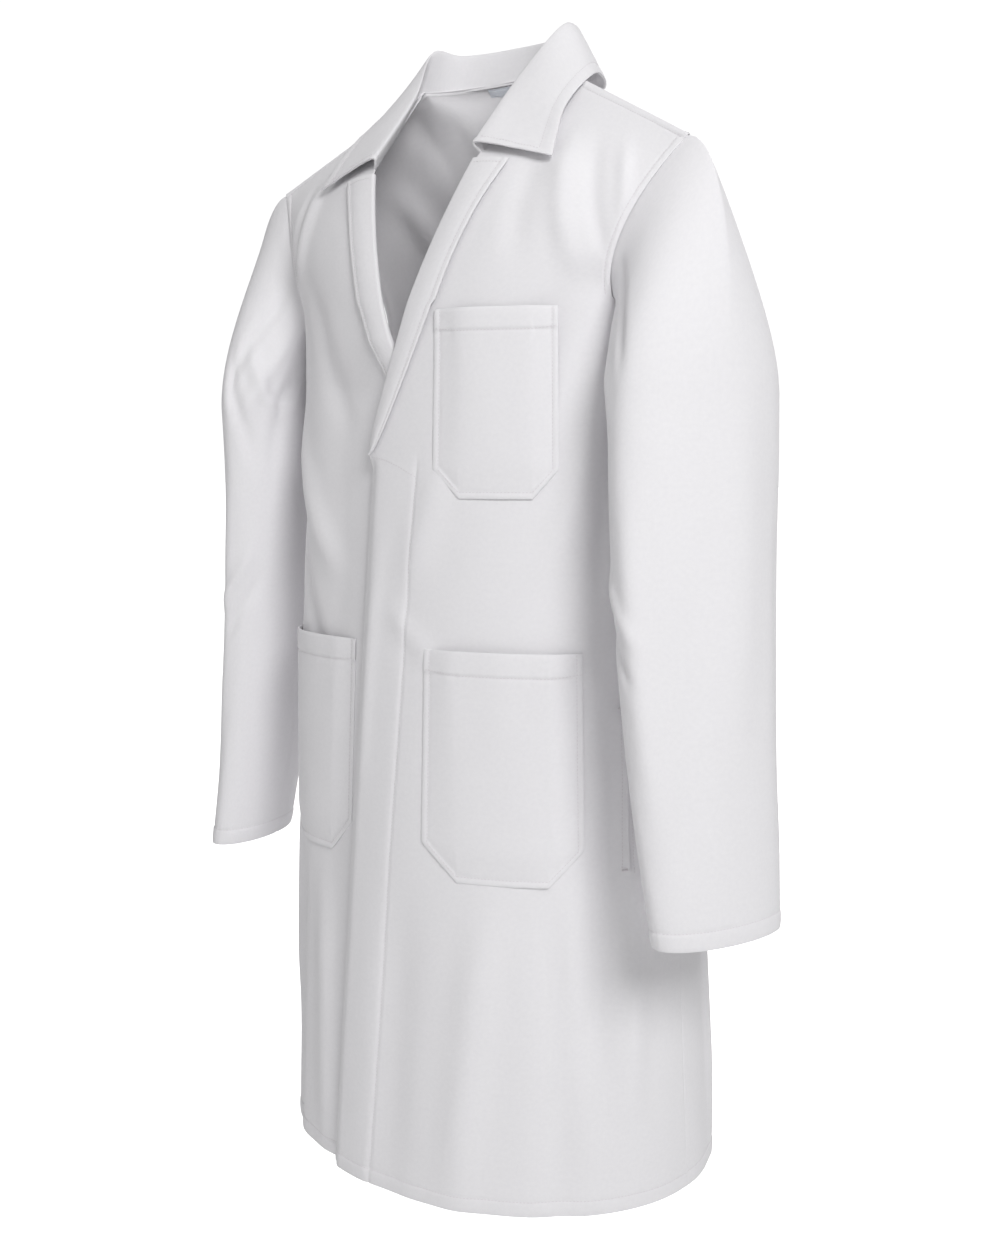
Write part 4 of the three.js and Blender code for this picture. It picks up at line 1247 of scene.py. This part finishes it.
@dataclass(frozen=True)
class Collar:
    """The collar: it stands up from the neck seam and falls over to its outer edge."""

    block: Block
    stand: float = 32.0
    fall: float = 52.0
    reach: float = 34.0
    deep: float = 92.0
    long: float = 560.0
    flat: tuple[float, float] = (0.58, 0.115)
    inset: float = 5.0

    def lines(self, t: Array) -> list[Array]:
        """The neck seam, the fold and the outer edge."""
        nape, neck, gorge = self.block.nape, self.block.neck, self.block.gorge
        side, top = self.block.neck_seam(0.6), nape[2] + self.stand
        tip, spread = point(142, -108, 950), neck[0] + self.reach
        seam = (
            nape + point(0, 1.5, -3),
            side + point(0.5, 1.5, -3),
            neck + point(1, 0, -3),
            lerp(neck, gorge, 0.5) + point(0, 0, -3),
            gorge + point(0, 0, -2),
        )
        fold = (
            nape + point(0, 6, self.stand),
            side + point(4, 10, self.stand + 3),
            point(neck[0] - 1, -2, top - 4),
            point(neck[0] - 16, -52, neck[2] - 12),
            gorge + point(2, -8, 6),
        )
        edge = (
            point(0, nape[1] + 28, top - self.fall),
            point(neck[0], nape[1] + 10, top - self.fall - 2),
            point(spread, -2, neck[2] - 8),
            point((spread + tip[0]) / 2, -70, (neck[2] + tip[2]) / 2),
            tip,
        )
        flip = point(-1, 1, 1)
        return [through([*(p * flip for p in half[:0:-1]), *half], t) for half in (seam, fold, edge)]

    def shape(self, a: Array, b: Array) -> Array:
        """The collar's surface, from the wearer's right end to the left, seam to edge."""
        seam, fold, edge = self.lines(lerp(0.008, 0.992, a / self.long))
        handle = (fold * 8 - seam - edge) / 6
        return curve(seam, handle, handle, edge, b / self.deep)

    def make(self, tailor: Tailor) -> None:
        """Builds the collar and its edge stitching."""
        inset, long, deep = self.inset, self.long, self.deep
        columns = ruler(0, long, 4.5, (inset, long - inset))
        sheet = Sheet("collar_cloth", columns, ruler(0, deep, 3.2, (deep - inset,)), self.shape)
        sheet.s = sheet.a.copy()
        rim = np.minimum(np.minimum(sheet.a, long - sheet.a), deep - sheet.b)
        leaf = ease((sheet.b / deep - 0.55) / 0.2) * ease(rim / 20)
        lift = hemmed(rim, inset, sheet.a + sheet.b, 21, 0.5)
        sheet.raised(lift + 1.2 * leaf * ripple(sheet.a, sheet.b, 60, 23))
        nodes = ["top_collar", "under_collar"]
        tailor.cloth(sheet, self.flat, "folded", ["back_cloth"], "torso", nodes, thickness=2.0)
        thread = Stitching("collar_stitching")
        thread.along(sheet, np.linspace(inset, long - inset, 320), deep - inset)
        for place in (inset, long - inset):
            thread.along(sheet, place, np.linspace(deep * 0.5, deep - inset, 60))
        tailor.sewn(thread, "torso")


@dataclass(frozen=True)
class Pocket:
    """A patch pocket with a hemmed mouth and cut-off lower corners."""

    block: Block
    hand: Hand
    name: str
    node: str
    width: float
    depth: float
    top: float
    inner: float
    bevel: float
    mouth: float = 22.0
    puff: float = 5.5
    seed: int = 31
    inset: float = 6.0

    def depths(self, a: Array, b: Array) -> tuple[Array, Array, Array]:
        """The distance to the nearer side, the pocket's depth there, and the distance below the mouth."""
        to_side = np.minimum(a, self.width - a)
        deep = self.depth - np.maximum(0, self.bevel - to_side)
        return to_side, deep, (1 - b / self.depth) * deep

    def shape(self, a: Array, b: Array) -> Array:
        """The pocket's surface: a outward from the inner edge, b up from the bottom."""
        block = self.block
        to_side, deep, down = self.depths(a, b)
        radius = (block.chest_width + block.hem_depth) / 2
        start = block.angle_at(self.inner, self.top)

        def skin(x: Array, y: Array) -> Array:
            return block.skin(start + x / radius, self.top - y, self.hand)

        base = skin(a, down)
        out = unit(np.cross(skin(a + 1, down) - base, skin(a, down - 1) - base))
        edge = np.minimum(to_side, deep - down)
        high = 1.2 + self.puff * ease(edge / 34) * (0.55 + 0.45 * (1 - down / self.depth))
        folds = 0.8 * ripple(a, down, 50, self.seed) * ease(edge / 30)
        return base + out * (high + folds)[..., None]

    def make(self, tailor: Tailor) -> None:
        """Builds the pocket and its stitching."""
        hinge, inset, bevel = front_hinge(self.hand), self.inset, self.bevel
        columns = ruler(0, self.width, 4.0, (inset, bevel, self.width - bevel, self.width - inset))
        rows = ruler(0, self.depth, 4.4, (inset, self.depth - self.mouth))
        sheet = Sheet(self.name, columns, rows, self.shape)
        sheet.s = sheet.a.copy()
        to_side, deep, down = self.depths(sheet.a, sheet.b)
        edge = np.minimum(to_side, np.where(to_side < bevel, (deep - down) * 0.72, deep - down))
        sheet.h = self.depth - down
        lift = hemmed(edge, inset, sheet.a + down, self.seed, 0.6)
        sheet.raised(lift + hemmed(down, self.mouth, sheet.a, 2, 0.7, 0.7)).on(self.hand)
        flat = (round(self.width * MM, 3), round(self.depth * MM, 3))
        front = f"{self.hand.word}_front_cloth"
        tailor.cloth(sheet, flat, "hung", [front], hinge, [self.node], thickness=1.2)
        tailor.sewn(self.stitches(sheet), hinge)

    def stitches(self, sheet: Sheet) -> Stitching:
        """The rows along the mouth and round the edges."""
        sign, inset, bevel, wide, top = self.hand.value, self.inset, self.bevel, self.width, self.depth - 1
        thread = Stitching(f"{self.name}_stitching")
        thread.along(sheet, sign * np.linspace(2, wide - 2, 120), self.depth - self.mouth)
        left = [(inset, top), (inset, bevel), (bevel, inset)]
        outline = left + [(wide - x, y) for x, y in left[::-1]]
        t = np.linspace(0, 1, 90)
        for (x0, y0), (x1, y1) in zip(outline, outline[1:]):
            x, y = lerp(x0, x1, t), lerp(y0, y1, t)
            grid = self.depth * (1 - np.clip((self.depth - y) / self.depths(x, y)[1], 0, 1))
            thread.along(sheet, sign * x, np.maximum(grid, inset * 0.8 if y0 != top else 0))
        return thread


@dataclass(frozen=True)
class Sleeve:
    """A set-in sleeve with a plain turned hem."""

    block: Block
    hand: Hand
    hem_height: float = 279.0
    top_height: float = 742.0
    hem_x: float = 298.0
    top_x: float = 263.0
    forward: tuple[float, float] = (60.0, 70.0)
    elbow: tuple[float, float] = (-2.0, 13.0)
    slim: tuple[float, float] = (7.0, 17.0)
    fuller: tuple[float, float] = (13.0, 0.0)
    long: tuple[float, float] = (89.0, 70.0)
    short: tuple[float, float] = (49.0, 31.0)
    turn: float = 0.3
    cap: float = 215.0
    hem: float = 16.0
    flat: tuple[float, float] = (0.46, 0.68)
    girth: float = 440.0
    tuck: float = 2.6

    hole_middle = point(150, -44, 872)

    @property
    def fall(self) -> float:
        """The length below the sleeve head."""
        return self.top_height - self.hem_height

    def ring(self, turn: Array, drop: Array) -> Array:
        """The sleeve's cross-section, a share of the way down from the sleeve head."""
        side = 0 if self.hand is Hand.LEFT else 1
        short, long = lerp(*self.short, drop), lerp(*self.long, drop)
        out = -np.cos(2 * math.pi * turn)
        fore = -np.sin(2 * math.pi * turn)
        out = out * np.where(out > 0, short - self.slim[side] * (1 - 0.7 * drop), short)
        fore = fore * np.where(fore < 0, long + self.fuller[side] * np.sin(math.pi * drop) ** 0.8, long)
        x = lerp(self.top_x, self.hem_x, drop)
        y = -lerp(*self.forward, drop) + self.elbow[side] * 4 * drop * (1 - drop)
        return xyz(
            x + out * math.cos(self.turn) + fore * math.sin(self.turn),
            y - out * math.sin(self.turn) + fore * math.cos(self.turn),
            lerp(self.top_height, self.hem_height, drop),
        )

    def shape(self, a: Array, b: Array) -> Array:
        """The sleeve's surface: a round from the underarm, b up from the hem."""
        crown = 0.5 - 0.5 * np.cos(2 * math.pi * a)
        hole = self.block.armhole(a)
        edge = hole + unit(self.hole_middle - hole) * self.tuck
        head = self.ring(a, 0 * a)
        lift = crown[..., None]
        low = edge + point(8, 0, -14) + lift * point(30, 0, 16)
        high = head + point(0, 0, 14) + lift * point(0, 0, 90)
        t = np.clip(1 - (b - self.fall) / self.cap, 0, 1)
        cap = curve(edge, low, high, head, t)
        arm = self.ring(a, np.clip(1 - b / self.fall, 0, 1))
        return np.where((b > self.fall)[..., None], cap, arm)

    @property
    def folds(self) -> list[Fold]:
        """The sleeve's folds, from (share of a turn times its girth, height above its hem)."""
        inner = [
            Fold((60, 640), (96, 420), 13, 3.2, 8),
            Fold((96, 660), (120, 470), 11, -3.0, 6),
            Fold((30, 600), (60, 380), 12, -3.0, 4),
            Fold((372, 640), (344, 430), 13, 3.4, -8),
            Fold((406, 620), (392, 420), 12, -3.0, -6),
            Fold((130, 420), (150, 60), 20, 2.4, 6),
            Fold((230, 520), (214, 120), 24, 2.2, -6),
            Fold((180, 330), (176, 20), 16, -2.2),
            Fold((290, 420), (300, 60), 22, -2.4),
            Fold((70, 330), (150, 250), 10, 2.2, 5),
            Fold((60, 300), (140, 215), 9, -2.0, 5),
            Fold((330, 320), (380, 240), 11, 2.6, 5),
        ]
        if self.hand is Hand.RIGHT:
            inner += [Fold((110, 560), (40, 430), 12, 3.4, 6), Fold((140, 540), (70, 390), 12, -2.8, 6)]
        return inner

    def make(self, tailor: Tailor) -> None:
        """Builds the sleeve and its stitching."""
        word, hinge, top = self.hand.word, sleeve_hinge(self.hand), self.fall + self.cap
        rows = ruler(0, top, 5.0, (self.hem, top - 5))
        sheet = Sheet(f"{word}_sleeve_cloth", np.linspace(0, 1, 121), rows, self.shape, tube=True)
        s, h = sheet.a * self.girth, sheet.b
        sheet.s = s
        lift = folded(self.folds, s, h) + folded(self.folds, s - self.girth, h)
        lift = lift + 0.7 * ripple(s, h, 60, 41)
        seam = np.minimum(sheet.a, 1 - sheet.a) * self.girth
        lift = lift * ease(seam / 30) * ease((top - h) / 30) * ease((h + 12) / 40)
        lift = lift + hemmed(h, self.hem, s, 43, 0.7, 0.7)
        sheet.raised(lift + stitched(seam, 0.8, 2.2))
        sheet.points[:, -1] = sheet.points[:, 0]
        sheet.on(self.hand)
        tailor.cloth(sheet, self.flat, "hung", [f"{word}_front_cloth", "back_cloth"], hinge, [f"{word}_sleeve"])
        thread = Stitching(f"{word}_sleeve_stitching")
        thread.along(sheet, np.linspace(0.002, 0.998, 240) * self.hand.value, self.hem)
        tailor.sewn(thread, hinge)


@dataclass(frozen=True)
class Strip:
    """A band behind a front's edge: the fly that carries the studs, or the facing."""

    block: Block
    name: str
    node: str
    hand: Hand
    from_edge: float
    width: float
    bottom: float
    top: float
    depth: float
    inset: float = 4.0

    def shape(self, a: Array, b: Array) -> Array:
        """The band's surface, a depth below the left front's face."""
        block = self.block
        x = block.edge_x(b) + self.from_edge + a
        skin = block.body(block.angle_at(x, b), b)
        inward = unit(xyz(0 * x, block.level(b)[2], b) - skin)
        return skin + inward * self.depth

    def make(self, tailor: Tailor) -> None:
        """Builds the band."""
        columns = ruler(0, self.width, 5, (self.inset,))
        sheet = Sheet(self.name, columns, ruler(self.bottom, self.top, 8), self.shape)
        rim = np.minimum(sheet.a, self.width - sheet.a)
        sheet.raised(0.4 * stitched(rim - self.inset))
        flat = (round(self.width * MM, 3), round((self.top - self.bottom) * MM, 3))
        front = f"{self.hand.word}_front_cloth"
        tailor.cloth(sheet, flat, "hung", [front], front_hinge(self.hand), [self.node], thickness=1.4)


@dataclass(frozen=True)
class Trimmings:
    """The neck label, the hanging loop and the bar tacks."""

    block: Block
    label: tuple[float, float] = (58.0, 16.0)
    label_drop: float = 12.0
    inside: float = 3.2
    slit_angle: float = 1.2
    tack: float = 14.0
    label_inset: float = 1.6

    def inside_neck(self, x: Array, drop: Array) -> Array:
        """The inside of the back, a drop below the neck seam."""
        block = self.block
        rise = 1 - drop / (block.nape[2] - block.chest)
        skin = block.back_chest(np.abs(x) / block.shoulder[0], rise)
        return skin * xyz(np.where(x < 0, -1.0, 1.0), 1.0, 1.0) + point(0, -self.inside, 0)

    def make(self, tailor: Tailor) -> None:
        """Builds all the trimmings."""
        wide, high = self.label
        sheet = Sheet(
            "neck_label_tape",
            ruler(0, wide, 2.4, (2,)),
            ruler(0, high, 1.8),
            lambda a, b: self.inside_neck(a - wide / 2, self.label_drop + high - b),
        )
        rim = np.minimum(np.minimum(sheet.a, wide - sheet.a), np.minimum(sheet.b, high - sheet.b))
        sheet.raised(0.5 * ease(rim / 4) + stitched(rim - self.label_inset, 0.3, 0.8))
        tape = tailor.dress(sheet.build(0.5), tailor.wardrobe.tape, "torso", ["neck_label"])
        thread = Stitching("neck_label_stitching", 1.6, 2.2, 0.35)
        for b in (self.label_inset, high - self.label_inset):
            thread.along(sheet, np.linspace(1, wide - 1, 60), b)
        tailor.sewn(thread, "torso")
        self.loop(tailor)
        for hand in Hand:
            for end in ("upper", "lower"):
                self.bar_tack(tailor, hand, end)

    def loop(self, tailor: Tailor) -> None:
        """The hanging loop: a narrow band sewn down at its two ends."""
        low, high = cut_box("hanging_loop")
        wide, tall, deep = high[0] - low[0], high[2] - low[2], high[1] - low[1]

        def band(a: Array, b: Array) -> Array:
            t = a / wide
            bulge = ease(t / 0.3) * ease((1 - t) / 0.3)
            curl = 0.5 * np.sin(math.pi * b / tall)
            return xyz(low[0] + a, high[1] - 1.0 - (deep - 3.0) * bulge - curl, low[2] + b)

        sheet = Sheet("hanging_loop_band", ruler(0, wide, 2.0), ruler(0, tall, 1.0), band)
        obj = tailor.dress(sheet.build(1.2), tailor.wardrobe.drill, "torso", ["hanging_loop"])
        thread = Stitching("hanging_loop_stitching", 1.6, 2.2, 0.4)
        for place in (2.0, 5.0, wide - 5.0, wide - 2.0):
            thread.along(sheet, place, np.linspace(0.5, tall - 0.5, 12))
        tailor.sewn(thread, "torso")

    def bar_tack(self, tailor: Tailor, hand: Hand, end: str) -> None:
        """A bar tack at one end of a pocket slit."""
        node = f"{hand.word}_{end}_bar_tack"
        low, high = cut_box(node)
        centre = (low + high) / 2
        side = point(hand.value, 1, 1)
        skin = [self.block.body(self.slit_angle + d, float(centre[2])) * side for d in (0.0, 0.02)]
        along = unit(skin[1] - skin[0])
        out = unit(np.cross(along, point(0, 0, 1))) * hand.value
        thread = Stitching(f"{node}_thread", 2.6, 1.0, 1.15)
        thread.satin(centre + out * 0.2, along, out, self.tack)
        tailor.sewn(thread, "torso", [node])


# ------------------------------------------------------------------ the studio


@dataclass(frozen=True)
class Studio:
    """Camera, floor and soft lights."""

    camera: tuple[float, float, float] = (0.9375, -1.229, -0.371)
    azimuth: float = 38.44
    pitch: float = 6.55
    lens: float = 43.2
    floor: float = -1.42
    aimed_at: tuple[float, float, float] = (0.0, 0.0, -0.5)
    floor_glow: float = 0.06
    sky_glow: float = 0.3
    seen_glow: float = 1.05

    lamps = (
        ("key_light", (2.5, -1.6, 1.3), 1.4, 66.0),
        ("fill_light", (-1.8, -2.6, 0.3), 2.4, 9.0),
        ("top_light", (0.3, -0.2, 2.2), 2.0, 7.0),
        ("back_light", (-1.2, 2.9, 0.6), 2.2, 40.0),
    )

    def make(self) -> None:
        """Sets up the studio."""
        self.aim()
        self.ground()
        for lamp in self.lamps:
            self.light(*lamp)
        self.sky()

    def aim(self) -> None:
        """The camera."""
        data = bpy.data.cameras.new("camera")
        data.lens, data.sensor_width = self.lens, 36.0
        obj = bpy.data.objects.new("camera", data)
        obj.location = self.camera
        obj.rotation_euler = (math.radians(90 - self.pitch), 0.0, math.radians(self.azimuth))
        bpy.context.scene.collection.objects.link(obj)
        bpy.context.scene.camera = obj

    def ground(self) -> None:
        """A plain pale floor."""
        bm = bmesh.new()
        bmesh.ops.create_grid(bm, x_segments=2, y_segments=2, size=40.0)
        mesh = bpy.data.meshes.new("floor")
        bm.to_mesh(mesh)
        bm.free()
        floor = shown("floor", mesh)
        floor.location = (0, 0, self.floor)
        material, n, shader = painted("pale_floor")
        n.fill(shader, {
            "Base Color": (0.9, 0.9, 0.9, 1),
            "Roughness": 0.9,
            "Emission Color": (1, 1, 1, 1),
            "Emission Strength": n.glow(self.floor_glow, self.seen_glow),
        })
        mesh.materials.append(material)

    def light(self, name: str, place: tuple[float, float, float], size: float, power: float) -> None:
        """A large soft light aimed at the coat."""
        data = bpy.data.lights.new(name, "AREA")
        data.shape, data.size, data.energy = "DISK", size, power
        obj = bpy.data.objects.new(name, data)
        obj.location = place
        away = Vector(self.aimed_at) - Vector(place)
        obj.rotation_euler = away.to_track_quat("-Z", "Y").to_euler()
        bpy.context.scene.collection.objects.link(obj)

    def sky(self) -> None:
        """White surroundings, brighter to look at than they light."""
        world = bpy.data.worlds.new("white_room")
        bpy.context.scene.world = world
        world.use_nodes = True
        n = Nodes(world.node_tree)
        strength = n.glow(self.sky_glow, self.seen_glow)
        n.fill(world.node_tree.nodes["Background"], {"Color": (1, 1, 1, 1), "Strength": strength})
        bpy.context.scene.view_settings.view_transform = "Standard"


def main() -> None:
    """Dresses the frame with the coat's pieces, in the order that they are sewn."""
    logging.basicConfig(level=logging.INFO, format="%(message)s")
    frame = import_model()
    Studio().make()
    wardrobe = Wardrobe()
    tailor = Tailor(wardrobe)
    block = Block()
    for hand in Hand:
        Front(block, hand).make(tailor)
    Back(block).make(tailor)
    Collar(block).make(tailor)
    for hand in Hand:
        Lapel(block, hand).make(tailor)
        Sleeve(block, hand).make(tailor)
    lower = {"width": 150.0, "depth": 212.0, "top": 520.0, "bevel": 34.0}
    for hand, inner, seed in ((Hand.LEFT, 42.0, 31), (Hand.RIGHT, 62.0, 33)):
        node = f"{hand.word}_lower_pocket"
        Pocket(block, hand, f"{node}_cloth", node, inner=inner, seed=seed, **lower).make(tailor)
    Pocket(
        block, Hand.LEFT, "chest_pocket_cloth", "chest_pocket",
        width=122.0, depth=168.0, top=824.0, inner=46.0, bevel=26.0, mouth=20.0, puff=4.0, seed=35,
    ).make(tailor)
    Strip(block, "fly_band", "fly_placket", Hand.LEFT, 3.0, 62.0, 150.0, 670.0, 4.2).make(tailor)
    Strip(block, "right_facing_band", "right_facing", Hand.RIGHT, 1.0, 66.0, 6.0, 683.0, 14.6).make(tailor)
    Trimmings(block).make(tailor)
    for name, node in frame["nodes"].items():
        if name.startswith("stud_"):
            node.data.materials.clear()
            node.data.materials.append(wardrobe.stud)
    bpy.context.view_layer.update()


if __name__ == "__main__":
    main()
